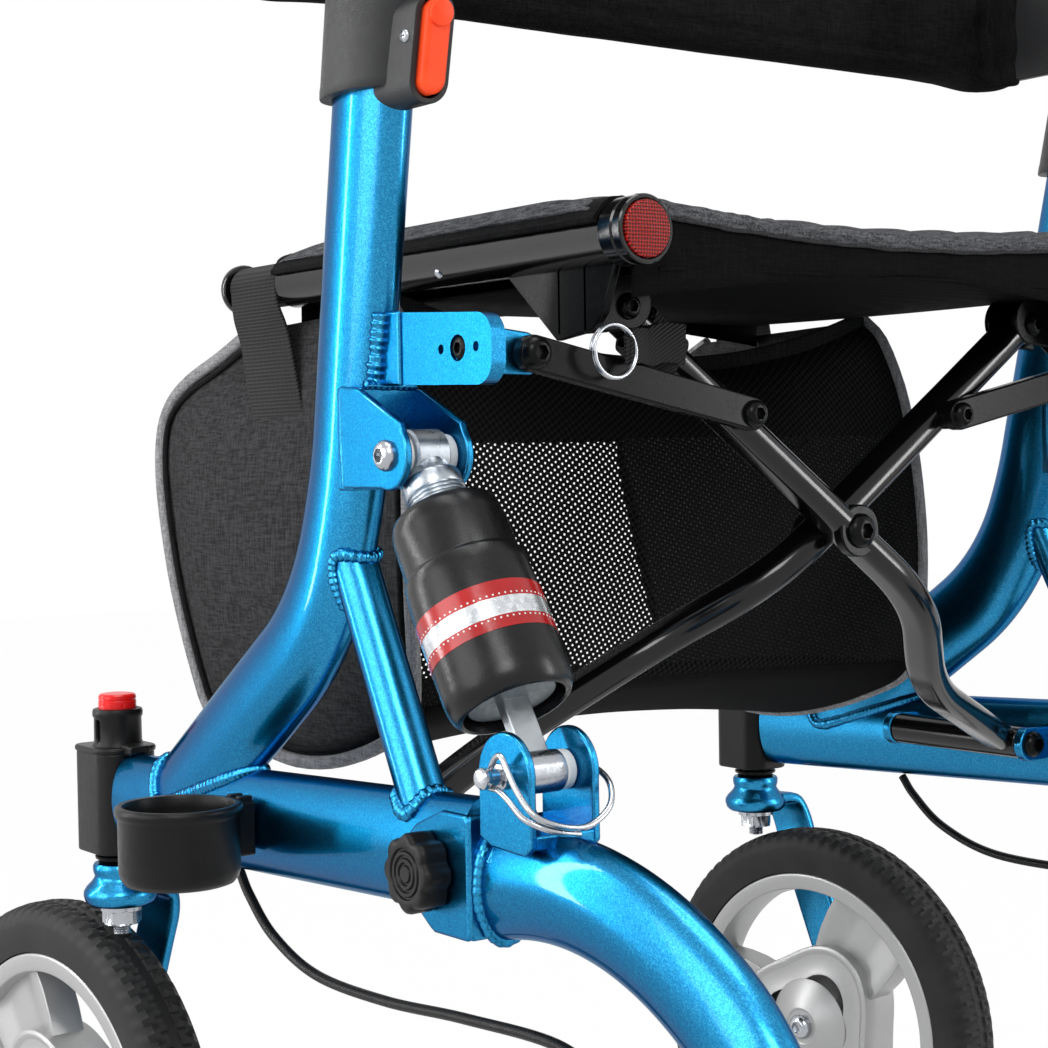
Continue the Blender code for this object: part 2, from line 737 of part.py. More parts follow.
def add_link_bracket(frame, side):
    """The plate with three holes behind the upright, and the tongue for the link bar."""
    middle = LINK_OUT_Z + PLATE_RISE
    low, high = middle - PLATE_HALF, middle + PLATE_HALF
    front, rear, corner = BEND_Y + PLATE_FRONT, PLATE_REAR_Y, PLATE_CORNER
    outline = [(front, low)] + arc((rear - corner, low + corner), corner, -90, 0, 2)
    outline += arc((rear - corner, high - corner), corner, 0, 90, 2) + [(front, high)]
    plate = slab(outline, FRAME_X - PLATE_THICK / 2, FRAME_X + PLATE_THICK / 2, "yz")
    tongue_y = link_plane(side) - LINK_THICK / 2 - TONGUE_GAP - TONGUE_THICK / 2
    root_x = FRAME_X + PLATE_THICK / 4
    tongue = [(root_x, LINK_OUT_Z - 0.0085), (root_x, LINK_OUT_Z + 0.0135)]
    tongue += arc((LINK_OUT_X, LINK_OUT_Z), TONGUE_ROUND, 100, 250, 5)
    join(plate, slab(tongue, tongue_y - TONGUE_THICK / 2, tongue_y + TONGUE_THICK / 2, "xz"))
    head_y = link_plane(side) + LINK_THICK / 2 + GAP
    join(plate, rod((LINK_OUT_X, tongue_y, LINK_OUT_Z), (LINK_OUT_X, head_y + 0.002, LINK_OUT_Z), LINK_PIN))
    join(plate, bolt_head((LINK_OUT_X, head_y, LINK_OUT_Z), (0, 1, 0), 0.0070, 0.0040))
    for y, radius in PLATE_HOLES:
        cut(plate, rod((FRAME_X - PLATE_THICK, y, middle), (FRAME_X + PLATE_THICK, y, middle), radius, 6))
    join(frame, plate)


def bolt_head(centre, axis, radius, height, sides=8):
    """A low dome."""
    profile = [(radius, 0), (radius * 0.80, height * 0.75), (0, height)]
    return turn(profile, centre, axis, sides)


def link_plane(side):
    """The mid plane of a link bar, which lies behind its own cross tube."""
    key = "a" if side == "l" else "b"
    return CROSS_Y[key] + CROSS_THICK / 2 + LINK_GAP + LINK_THICK / 2


# Front caster

def caster_housing(side):
    rear = LOW_FRONT_Y - LOW_SLOPE * TUBE_TALL / 2 - GAP
    front = STEM_Y - HOUSING_FRONT
    outline = rounded_box(HOUSING_HALF, (rear - front) / 2, HOUSING_CORNER, (FRAME_X, (rear + front) / 2))
    housing = slab(outline, HOUSING_BOTTOM_Z, HOUSING_TOP_Z, "xy")
    stem = (FRAME_X, STEM_Y)
    join(housing, rod((*stem, HOUSING_TOP_Z - 0.002), (*stem, TOWER_TOP_Z), BUTTON_RADIUS + TOWER_WALL, 12))
    clip_z = low_z(LOW_FRONT_Y) + TUBE_TALL / 2 + 2.5 * GAP
    clip_low = (FRAME_X - CLIP_HALF, rear - CLIP_THICK, clip_z)
    join(housing, box(clip_low, (FRAME_X + CLIP_HALF, rear + CLIP_REACH, clip_z + CLIP_THICK)))
    bore = drill((*stem, HOUSING_BOTTOM_Z - 0.01), (*stem, HOUSING_TOP_Z), STEM_RADIUS, 8)
    well = drill((*stem, TOWER_TOP_Z - WELL_DEPTH), (*stem, TOWER_TOP_Z + 0.01), BUTTON_RADIUS, 10)
    slot_low = (FRAME_X - SLOT_HALF, STEM_Y - BUTTON_RADIUS - 0.01, HOUSING_TOP_Z + SLOT_LOW)
    slot = box(slot_low, (FRAME_X + SLOT_HALF, STEM_Y - BUTTON_RADIUS - 2 * GAP, slot_low[2] + SLOT_TALL))
    cut(housing, bore, well, slot)
    finish(housing, "caster_housing", "black_plastic", (*stem, HOUSING_BOTTOM_Z), side)


def caster_button(side):
    low = TOWER_TOP_Z - BUTTON_DEPTH
    top = TOWER_TOP_Z + BUTTON_RISE
    radius, edge = BUTTON_RADIUS, 0.0015
    profile = [(0, low), (radius, low), (radius, top - edge), (radius - edge, top), (0, top)]
    button = turn(profile, (FRAME_X, STEM_Y, 0), (0, 0, 1), 10)
    finish(button, "caster_button", "red", (FRAME_X, STEM_Y, TOWER_TOP_Z), side)


def turned_caster(solid, name, colour, side, origin=(0, 0, 0)):
    """Places a caster piece, modelled about its stem with the wheel trailing along +Y."""
    finish(solid, name, colour, origin, side)
    spin = Matrix.Rotation(CASTER_TURN[side], 4, "Z")
    sign = 1 if side == "l" else -1
    centre = spin @ Vector((sign * origin[0], origin[1], 0))
    solid.location = (sign * FRAME_X + centre.x, STEM_Y + centre.y, origin[2])
    solid.rotation_euler = (0, 0, CASTER_TURN[side])


def caster_stem(side):
    """Shaft, seal ring, lock nut and the bolt's end."""
    seal = HOUSING_BOTTOM_Z - SEAL_GAP
    low, nut = BOLT_LOW_Z, BOLT_LOW_Z + BOLT_END
    cup_low, cup_top = CUP_LOW_Z - GAP, CUP_TOP_Z + GAP
    top = HOUSING_TOP_Z - 0.004
    profile = [(0, low), (BOLT_RADIUS, low), (BOLT_RADIUS, nut), (NUT_RADIUS, nut), (NUT_RADIUS, cup_low),
               (STEM_RADIUS, cup_low), (STEM_RADIUS, cup_top), (SEAL_RADIUS, cup_top),
               (SEAL_RADIUS - 0.0008, seal), (STEM_RADIUS, seal), (STEM_RADIUS, top), (0, top)]
    stem = turn(profile, (0, 0, 0), (0, 0, 1), 8)
    turned_caster(stem, "caster_stem", "steel", side, (0, 0, seal))


def caster_fork(side):
    """Cup round the stem, shoulder to the outside, and one leg down to the axle."""
    low, top = CUP_LOW_Z, CUP_TOP_Z
    bore = STEM_RADIUS + 2.5 * GAP
    wide, edge, flare = CUP_RADIUS, 0.0040, low + CUP_FLARE
    profile = [(bore, low), (wide - edge, low), (wide, low + edge), (wide, flare - 0.0060), (CUP_NECK, flare),
               (CUP_NECK, top), (bore, top)]
    cup = turn(profile, (0, 0, 0), (0, 0, 1), 14, closed=True)
    middle = LEG_INNER + LEG_THICK / 2
    shoulder = low + 0.0055
    run = fillet([(2 * STEM_RADIUS, 0.001, shoulder), (middle, 0.003, shoulder), (middle, 0.010, low - 0.0280),
                  (middle, TRAIL, WHEEL_RADIUS)], LEG_BEND, 4)
    rings = []
    for i, point in enumerate(run):
        tangent = (run[min(i + 1, len(run) - 1)] - run[max(i - 1, 0)]).normalized()
        share = i / (len(run) - 1)
        wide = LEG_HALF_TOP + (LEG_HALF_LOW - LEG_HALF_TOP) * share
        forward = Vector((0, 1, 0))
        forward = (forward - tangent * forward.dot(tangent)).normalized()
        thick = tangent.cross(forward)
        rings.append([point + forward * a + thick * b
                      for a, b in rounded_box(wide, LEG_THICK / 2, 0.0025, steps=1)])
    leg = skin(rings)
    join(cup, leg)
    end = (TRAIL, WHEEL_RADIUS)
    face = LEG_INNER + LEG_THICK
    boss = rod((LEG_INNER, *end), (face + 0.001, *end), AXLE_BOSS, 14)
    spacer = rod((HUB_HALF + GAP, *end), (LEG_INNER + 0.001, *end), AXLE_RADIUS + 0.0035)
    axle = rod((-HUB_HALF - 0.0010, *end), (LEG_INNER + 0.002, *end), AXLE_RADIUS, 8)
    head = bolt_head((-HUB_HALF - GAP, *end), (-1, 0, 0), AXLE_HEAD, 0.0048)
    nut = rod((face, *end), (face + 0.006, *end), AXLE_HEAD - 0.001, 6)
    join(cup, boss, spacer, axle, head, nut)
    turned_caster(cup, "caster_fork", "blue", side)


# Wheels

def tyre(radius, wide, sides):
    """A solid tyre with a low crown and square shoulders, spun about X."""
    radius = radius / math.cos(math.pi / sides)
    seat = radius - TYRE_DEPTH
    half = wide / 2
    crown = [(seat, -RIM_HALF), (radius - 0.0120, -half), (radius - 0.0012, -half + 0.0085), (radius, -0.0030)]
    profile = crown + [(r, -w) for r, w in reversed(crown)]
    return turn(profile, (0, 0, 0), (1, 0, 0), sides, closed=True)


def hub(radius, axle, sides):
    """Rim, three broad spokes, a ridged three-cornered middle and a coned boss."""
    radius = radius / math.cos(math.pi / sides)
    seat = radius - TYRE_DEPTH - GAP
    inner = seat - RIM_DEPTH
    rim = turn([(inner, -RIM_HALF), (seat, -RIM_HALF), (seat, RIM_HALF), (inner, RIM_HALF)],
               (0, 0, 0), (1, 0, 0), sides, closed=True)
    shape = three_corners(HUB_CORNER * radius / WHEEL_RADIUS, HUB_FLAT * radius / WHEEL_RADIUS)
    for k in range(3):
        middle = 57 + 120 * k
        outer = [polar(inner + 0.003, middle + a) for a in (-21.5, 0, 21.5)]
        root = [polar(inner * 0.45, middle + a) for a in (34, -34)]
        join(rim, slab(outer + root, -SPOKE_HALF, SPOKE_HALF, "yz"))
    join(rim, slab(shape, -HUB_MIDDLE_HALF, HUB_MIDDLE_HALF, "yz"))
    cone = [(0, -HUB_HALF), (CONE_END, -HUB_HALF), (CONE_WIDE, -RIM_HALF), (CONE_WIDE, RIM_HALF),
            (CONE_END, HUB_HALF), (0, HUB_HALF)]
    join(rim, turn(cone, (0, 0, 0), (1, 0, 0), 10))
    cut(rim, drill((-0.03, 0, 0), (0.03, 0, 0), axle))
    return rim


def polar(radius, degrees):
    t = math.radians(degrees)
    return (radius * math.cos(t), radius * math.sin(t))


def three_corners(corner, flat):
    """An outline that swells towards the three spokes."""
    points = []
    for k in range(12):
        angle = 30 * k + 57
        swell = (1 + math.cos(math.radians(3 * (angle - 57)))) / 2
        points.append(polar(flat + (corner - flat) * swell, angle))
    return points


def front_wheel(side):
    for name, colour, solid in (("front_tyre", "rubber", tyre(WHEEL_RADIUS, WHEEL_WIDE, FRONT_SIDES)),
                                ("front_hub", "silver_plastic", hub(WHEEL_RADIUS, AXLE_RADIUS, FRONT_SIDES))):
        solid.data.transform(Matrix.Translation((0, TRAIL, WHEEL_RADIUS)))
        turned_caster(solid, name, colour, side, (0, TRAIL, WHEEL_RADIUS))


def rear_wheel(side):
    centre = (REAR_WHEEL_X, AXLE_Y, REAR_RADIUS)
    for name, colour, solid in (("rear_tyre", "rubber", tyre(REAR_RADIUS, REAR_WIDE, REAR_SIDES)),
                                ("rear_hub", "silver_plastic", hub(REAR_RADIUS, REAR_AXLE, REAR_SIDES))):
        solid.data.transform(Matrix.Translation(centre))
        finish(solid, name, colour, centre, side)


# Rear arm

def swing_arm(side):
    points = [(FRAME_X, y, z) for y, z in arm_points()]
    arm = sweep(points, ellipse(ARM_TALL, TUBE_WIDE))
    inner = TUBE_WIDE / 2 + EAR_GAP
    outer = inner + EAR_THICK
    low, high, rear = PIVOT_Z - EAR_HALF, PIVOT_Z + EAR_HALF, PIVOT_Y + EAR_REAR
    outline = [(rear, low), (rear, high), (PIVOT_Y + 0.006, high)]
    outline += arc((PIVOT_Y, PIVOT_Z), EAR_ROUND, 125, 235, 4) + [(PIVOT_Y + 0.006, low)]
    for way in (-1, 1):
        faces = sorted((FRAME_X + way * inner, FRAME_X + way * outer))
        join(arm, slab(outline, *faces, "yz"))
    join(arm, box((FRAME_X - outer, rear - EAR_THICK, low), (FRAME_X + outer, rear, high)))
    add_pin_bracket(arm)
    cut(arm, cross_drill(PIVOT_Y, PIVOT_Z, PIVOT_RADIUS))
    axle = (AXLE_Y, REAR_RADIUS)
    hub_near = REAR_OUT - HUB_HALF - GAP
    hub_far = REAR_OUT + HUB_HALF + GAP
    join(arm, across_frame(*axle, -TUBE_WIDE / 2 - 0.00225, TUBE_WIDE / 2 + 0.003, REAR_BOSS, 14))
    join(arm, across_frame(*axle, 0, hub_near, REAR_AXLE + 0.0050))
    join(arm, across_frame(*axle, 0, hub_far + 0.0020, REAR_AXLE, 8))
    join(arm, across_frame(*axle, hub_far, hub_far + 0.0050, REAR_AXLE + 0.0045, 6))
    add_brake_mounts(arm)
    finish(arm, "swing_arm", "blue", (FRAME_X, PIVOT_Y, PIVOT_Z), side)


def add_pin_bracket(arm):
    """Two ears on a base, on top of the arm, for the shock's lower eye."""
    outline = about(SHOCK_LOW, PIN_EAR_FOOT) + arc(SHOCK_LOW, PIN_EAR_ROUND, -10, 190, 5)
    for way in (-1, 1):
        faces = sorted((FRAME_X + way * CLEVIS_HALF, FRAME_X + way * (CLEVIS_HALF + CLEVIS_THICK)))
        join(arm, slab(outline, *faces, "yz"))
    reach = CLEVIS_HALF + CLEVIS_THICK
    join(arm, slab(about(SHOCK_LOW, PIN_EAR_BASE), FRAME_X - reach, FRAME_X + reach, "yz"))
    cut(arm, cross_drill(*SHOCK_LOW, PIVOT_RADIUS))


def add_brake_mounts(arm):
    """The stub that the brake plate turns on, and the stop that holds the cable's end."""
    join(arm, across_frame(*BRAKE_PIVOT, 0, BRAKE_START - GAP, BRAKE_STUB))
    join(arm, across_frame(*BRAKE_PIVOT, 0, BRAKE_START + 2.5 * BRAKE_THICK, BRAKE_PIN, 8))
    y, z = CABLE_STOP
    stop_x = FRAME_X + BRAKE_START + STOP_OUT
    join(arm, box((FRAME_X + 0.008, y, z - 0.0060), (stop_x + STOP_HALF, y + 0.0060, z + STOP_HALF)))


def rear_brake(side):
    """Plate with a shoe that presses on the tread, and a stub for the inner cable."""
    pivot = BRAKE_PIVOT
    near = FRAME_X + BRAKE_START
    shoe = (AXLE_Y + BRAKE_REACH * math.cos(BRAKE_ANGLE), REAR_RADIUS + BRAKE_REACH * math.sin(BRAKE_ANGLE))
    anchor = (pivot[0] + BRAKE_TAIL[0], pivot[1] + BRAKE_TAIL[1])
    bar = slab(rounded_outline([anchor, pivot, shoe], 0.0070), near, near + BRAKE_THICK, "yz")
    join(bar, rod((near + 0.001, *pivot), (near + BRAKE_THICK + 0.0040, *pivot), BRAKE_PIN + 0.0045, 10))
    join(bar, rod((near + 0.001, *shoe), (REAR_WHEEL_X + SHOE_REACH, *shoe), SHOE_RADIUS))
    join(bar, rod((near + 0.001, *anchor), (near + 2 * BRAKE_THICK, *anchor), 0.0045, 6))
    cut(bar, drill((near - 0.01, *pivot), (near + 0.02, *pivot), BRAKE_PIN, 8))
    finish(bar, "rear_brake", "black_metal", (near, *pivot), side)


def rounded_outline(spine, radius):
    """A flat bar's outline round a short spine of points."""
    spine = [Vector(point) for point in spine]
    left, right = [], []
    for i, point in enumerate(spine):
        tangent = (spine[min(i + 1, len(spine) - 1)] - spine[max(i - 1, 0)]).normalized()
        normal = Vector((-tangent.y, tangent.x))
        left.append(point + normal * radius)
        right.append(point - normal * radius)
    first = (spine[0] - spine[1]).normalized()
    last = (spine[-1] - spine[-2]).normalized()
    start = math.degrees(math.atan2(first.y, first.x))
    end = math.degrees(math.atan2(last.y, last.x))
    outline = [tuple(p) for p in right[:-1]]
    outline += arc(spine[-1], radius, end - 90, end + 90, 4)
    outline += [tuple(p) for p in reversed(left[1:-1])]
    outline += arc(spine[0], radius, start - 90, start + 90, 4)
    return outline[1:]


def pivot_knob(side):
    """Star knob outside, bolt through the ears and the lower tube, nut inside."""
    ear = TUBE_WIDE / 2 + EAR_GAP + EAR_THICK + GAP
    lobes = 8
    outline = []
    for k in range(lobes * 3):
        angle = 2 * math.pi * k / (lobes * 3)
        radius = KNOB_RADIUS + 0.0010 * math.cos(lobes * angle)
        outline.append((PIVOT_Y + radius * math.cos(angle), PIVOT_Z + radius * math.sin(angle)))
    rings = []
    middle = Vector((0, PIVOT_Y, PIVOT_Z))
    for x, share in ((0, 1.0), (KNOB_THICK - 0.0025, 1.0), (KNOB_THICK, 0.86)):
        face = Vector((FRAME_X + ear + x, 0, 0))
        rings.append([face + middle + (Vector((0, y, z)) - middle) * share for y, z in outline])
    knob = skin(rings)
    join(knob, across_frame(PIVOT_Y, PIVOT_Z, -ear - 0.003, ear + 0.002, PIVOT_RADIUS, 8))
    join(knob, across_frame(PIVOT_Y, PIVOT_Z, -ear - 0.0055, -ear, KNOB_NUT, 6))
    finish(knob, "pivot_knob", "black_plastic", (FRAME_X, PIVOT_Y, PIVOT_Z), side)


# Shock absorber

def shock_point(distance):
    return SHOCK_CENTRE + SHOCK_DIRECTION * distance


def shock_eye(side):
    """Upper eye with its bushes and bolt, neck and ribbed collar."""
    y, z = SHOCK_TOP
    reach = CLEVIS_HALF + CLEVIS_THICK
    eye = across_frame(y, z, -0.0085, 0.0085, 0.0110, 12)
    join(eye, across_frame(y, z, -CLEVIS_HALF + GAP, CLEVIS_HALF - GAP, 0.0088))
    join(eye, across_frame(y, z, -reach - 0.001, reach + 0.001, PIVOT_RADIUS, 8))
    join(eye, bolt_head((FRAME_X + reach + GAP, y, z), (1, 0, 0), 0.0068, 0.0042))
    join(eye, rod((FRAME_X - reach - GAP, y, z), (FRAME_X - reach - 0.0050, y, z), 0.0065, 6))
    profile = [(0, 0.006), (0.0082, 0.006), (0.0082, 0.0130)]
    groove = COLLAR_RADIUS - 0.0012
    for k in range(2):
        at = 0.0130 + COLLAR_RIB * k
        profile += [(COLLAR_RADIUS, at), (groove, at + COLLAR_RIB - 0.0006)]
    profile += [(groove, SLEEVE_START - GAP), (0, SLEEVE_START - GAP)]
    join(eye, turn(profile, SHOCK_CENTRE, SHOCK_DIRECTION, 10))
    finish(eye, "shock_eye", "steel", (FRAME_X, y, z), side)


def shock_sleeve(side):
    """Black body: rounded shoulder, seam step and wide open-ended skirt."""
    top = SLEEVE_START
    wide, upper = SLEEVE_RADIUS, SHOULDER_RADIUS
    bore = ROD_RADIUS + 2 * GAP
    inner = wide - SLEEVE_WALL
    profile = [(0, top), (upper - 0.0055, top), (upper - 0.0010, top + 0.0040), (upper, top + 0.0090),
               (upper, SEAM - 0.002), (wide, SEAM + 0.004), (wide, SLEEVE_END - 0.004),
               (wide - 0.0020, SLEEVE_END), (inner, SLEEVE_END), (inner, SLEEVE_MOUTH), (bore, SLEEVE_MOUTH),
               (bore, SLEEVE_BORE_TOP), (0, SLEEVE_BORE_TOP)]
    sleeve = turn(profile, SHOCK_CENTRE, SHOCK_DIRECTION, 14)
    finish(sleeve, "shock_sleeve", "black_plastic", (FRAME_X, *SHOCK_TOP), side)


def shock_rod(side):
    """Rod in the sleeve, flat blade and lower eye with its bushes."""
    y, z = SHOCK_LOW
    foot = ROD_TOP + ROD_LENGTH
    shaft = rod(shock_point(ROD_TOP), shock_point(foot), ROD_RADIUS)
    disc = rod(shock_point(foot - 0.002), shock_point(foot + 0.001), ROD_DISC, 12)
    along = (Vector(SHOCK_LOW) - Vector(SHOCK_TOP)).normalized()
    across = Vector((along.y, -along.x)) * BLADE_THICK / 2
    start = Vector(SHOCK_TOP) + along * (foot - 0.001)
    end = Vector(SHOCK_LOW) + along * 0.002
    blade = [tuple(p) for p in (start + across, start - across, end - across, end + across)]
    join(shaft, disc, slab(blade, FRAME_X - BLADE_WIDE / 2, FRAME_X + BLADE_WIDE / 2, "yz"))
    join(shaft, across_frame(y, z, -0.0090, 0.0090, 0.0095))
    join(shaft, across_frame(y, z, -CLEVIS_HALF + GAP, CLEVIS_HALF - GAP, 0.0080, 10))
    cut(shaft, cross_drill(y, z, PIVOT_RADIUS + PIN_PLAY))
    finish(shaft, "shock_rod", "steel", (FRAME_X, y, z), side)


def shock_pin(side):
    """Quick-release pin with a drilled round head."""
    y, z = SHOCK_LOW
    reach = CLEVIS_HALF + CLEVIS_THICK
    head = FRAME_X + reach + GAP
    tail = -2 * reach - PIN_TAIL
    profile = [(0, tail), (PIVOT_RADIUS, tail), (PIVOT_RADIUS, 0), (PIN_HEAD, 0), (PIN_HEAD, 0.0030),
               (PIVOT_RADIUS, 0.0030), (PIVOT_RADIUS, 0.0080), (0.0054, 0.0080), (0.0050, 0.0120), (0, 0.0130)]
    pin = turn(profile, (head, y, z), (1, 0, 0), 8)
    finish(pin, "shock_pin", "steel", (FRAME_X, y, z), side)


def shock_bail(side):
    """Wire bow that turns on the pin's head and snaps over its far end."""
    y, z = SHOCK_LOW
    reach = CLEVIS_HALF + CLEVIS_THICK
    near = FRAME_X + reach + 0.0060
    far = FRAME_X - reach - 0.0055
    eye_radius = PIVOT_RADIUS + BAIL_WIRE + 3 * GAP
    eye = [(near, a, b) for a, b in arc((y, z), eye_radius, 150, -100, 5)]
    drop, out = BAIL_DROP, BAIL_REACH
    low = z - eye_radius
    bow = fillet([eye[-1], (near + 0.001, y + 0.010, z - drop), (near - 0.004, y + out, z - drop - 0.004),
                  (far + 0.004, y + out + 0.001, z - drop - 0.001), (far - 0.001, y + out / 2, z - drop + 0.005),
                  (far, y + 0.004, low - 0.001), (far, y - 0.0035, low + 0.001)], 0.010, 2)
    return wire([Vector(p) for p in eye[:-1]] + bow, BAIL_WIRE, "shock_bail", side, (FRAME_X, y, z))


def wire(path, radius, name, side, origin):
    """A round wire along a smooth path."""
    rings = []
    normal = None
    for i, point in enumerate(path):
        tangent = (path[min(i + 1, len(path) - 1)] - path[max(i - 1, 0)]).normalized()
        if normal is None:
            normal = tangent.orthogonal().normalized()
        normal = (normal - tangent * normal.dot(tangent)).normalized()
        second = tangent.cross(normal)
        turns = [2 * math.pi * k / 6 for k in range(6)]
        rings.append([point + (normal * math.cos(t) + second * math.sin(t)) * radius for t in turns])
    return finish(skin(rings), name, "steel", origin, side)


# Cross brace

def cross_path(key):
    """Centre line from the seat rail down to the hinge tube on the other side."""
    y = CROSS_Y[key]
    way = 1 if key == "a" else -1
    top = (way * CROSS_REACH, y, CROSS_Z + CROSS_RISE)
    foot = (-way * (HINGE_X - 0.004), CROSS_FOOT_Y, HINGE_Z + 0.002)
    bends = [(a, y + b, CROSS_Z + c) for a, b, c in CROSS_BENDS[key]]
    return fillet([top, *bends, foot], CROSS_ROUND)


def saddle_bolt():
    """Where the left rail's saddle bolt crosses its tube."""
    return CROSS_REACH * SADDLE_SHARE, CROSS_Z + CROSS_RISE * SADDLE_SHARE


def cross_tube(key):
    y = CROSS_Y[key]
    way = 1 if key == "a" else -1
    section = oblong(CROSS_THICK, CROSS_TALL)
    solid = sweep(cross_path(key), section_on(section), Vector((0, 1, 0)))
    hinge_x = -way * HINGE_X
    ends = [HINGE_FRONT_Y + LUG_THICK / 2 + 2 * GAP, HINGE_REAR_Y - LUG_THICK / 2 - 2 * GAP]
    join(solid, rod((hinge_x, ends[0], HINGE_Z), (hinge_x, ends[1], HINGE_Z), HINGE_RADIUS, 12))
    cut(solid, drill((hinge_x, ends[0] - 0.01, HINGE_Z), (hinge_x, ends[1] + 0.01, HINGE_Z), HINGE_PIN))
    if key == "a":
        face = y + CROSS_THICK / 2
        join(solid, rod((0, face - 0.012, CROSS_Z), (0, face + 0.0016, CROSS_Z), CROSS_BOSS, 12))
        join(solid, bolt_head((0, face + 0.0012, CROSS_Z), (0, 1, 0), 0.0068, 0.0052))
        front = CROSS_Y["b"] - CROSS_THICK / 2 - 3 * GAP
        join(solid, rod((0, y, CROSS_Z), (0, front - 0.004, CROSS_Z), CROSS_PIN))
        join(solid, rod((0, front, CROSS_Z), (0, front - 0.006, CROSS_Z), CROSS_NUT, 6))
    else:
        cut(solid, drill((0, y - 0.02, CROSS_Z), (0, y + 0.02, CROSS_Z), CROSS_PIN))
    top_x, top_z = saddle_bolt()
    cut(solid, drill((way * top_x, y - 0.02, top_z), (way * top_x, y + 0.02, top_z), SADDLE_PIN))
    finish(solid, f"cross_tube_{key}", "black_metal", (-way * HINGE_X, 0, HINGE_Z))


def link_bar(side):
    """Flat bar from the upright's tongue to the cross tube, with its own inner bolt."""
    y = link_plane(side)
    direction = Vector((LINK_X - LINK_OUT_X, LINK_Z - LINK_OUT_Z))
    turn_angle = math.degrees(math.atan2(direction.y, direction.x))
    radius = LINK_TALL / 2
    outline = arc((LINK_X, LINK_Z), radius, turn_angle - 90, turn_angle + 90, 5)
    outline += arc((LINK_OUT_X, LINK_OUT_Z), radius, turn_angle + 90, turn_angle + 270, 5)
    bar = slab(outline, y - LINK_THICK / 2, y + LINK_THICK / 2, "xz")
    seat = y - LINK_THICK / 2 - LINK_GAP + GAP
    join(bar, rod((LINK_X, seat, LINK_Z), (LINK_X, y, LINK_Z), 0.0070))
    join(bar, bolt_head((LINK_X, y + LINK_THICK / 2 - 0.001, LINK_Z), (0, 1, 0), 0.0066, 0.0052))
    cut(bar, drill((LINK_OUT_X, y - 0.02, LINK_OUT_Z), (LINK_OUT_X, y + 0.02, LINK_OUT_Z), LINK_PIN))
    finish(bar, "link_bar", "black_metal", (LINK_OUT_X, y, LINK_OUT_Z), side)


# Seat

def seat_rail(side):
    """Rail with front neck and stop disc, rear ring, side gussets and the saddle for the cross tube."""
    key = "a" if side == "l" else "b"
    y = CROSS_Y[key]
    front, rear = RAIL_FRONT_Y, RAIL_REAR_Y
    radius = RAIL_RADIUS
    stop = front - NECK_LENGTH
    ring = radius + RIM_THICK
    profile = [(0, stop - STOP_THICK), (STOP_RADIUS - 0.0020, stop - STOP_THICK + 0.0005),
               (STOP_RADIUS, stop - STOP_THICK + 0.0035), (STOP_RADIUS, stop), (NECK_RADIUS, stop),
               (NECK_RADIUS, front), (radius, front), (radius, rear - RIM_LENGTH),
               (ring, rear - RIM_LENGTH + 0.0005), (ring, rear), (radius - 0.0010, rear),
               (radius - 0.0010, rear - LENS_SEAT), (0, rear - LENS_SEAT)]
    rail = turn(profile, (RAIL_X, 0, RAIL_Z), (0, 1, 0), 12)
    gusset = about((CROSS_REAR_Y, RAIL_Z), GUSSET)
    join(rail, slab(gusset, RAIL_X - GUSSET_HALF, RAIL_X + GUSSET_HALF, "yz"))
    bolt = saddle_bolt()
    outer = RAIL_X + GUSSET_HALF
    lobes = [(outer, RAIL_Z - LOBE_DROP), (outer, RAIL_Z), (RAIL_X - 0.0150, RAIL_Z - 0.004)]
    lobes += arc((bolt[0] - 0.001, bolt[1] + 0.002), SADDLE_ROUND, 110, 270, 5)
    for way in (-1, 1):
        near = y + way * (CROSS_THICK / 2 + GAP)
        faces = sorted((near, near + way * SADDLE_THICK))
        join(rail, slab(lobes, *faces, "xz"))
    reach = CROSS_THICK / 2 + SADDLE_THICK
    join(rail, rod((bolt[0], y - reach - 0.0010, bolt[1]), (bolt[0], y + reach, bolt[1]), SADDLE_PIN))
    join(rail, bolt_head((bolt[0], y + reach, bolt[1]), (0, 1, 0), 0.0060, 0.0040))
    finish(rail, "seat_rail", "black_metal", (RAIL_X, y, RAIL_Z), side)


def reflector(side):
    radius = RAIL_RADIUS - 0.0010 - GAP
    lens = turn([(0, 0), (radius, 0), (radius, 1.5 * LENS_SEAT), (0, 2 * LENS_SEAT)],
                (RAIL_X, RAIL_REAR_Y - LENS_SEAT + GAP, RAIL_Z), (0, 1, 0))
    finish(lens, "reflector", "red", (RAIL_X, RAIL_REAR_Y, RAIL_Z), side)


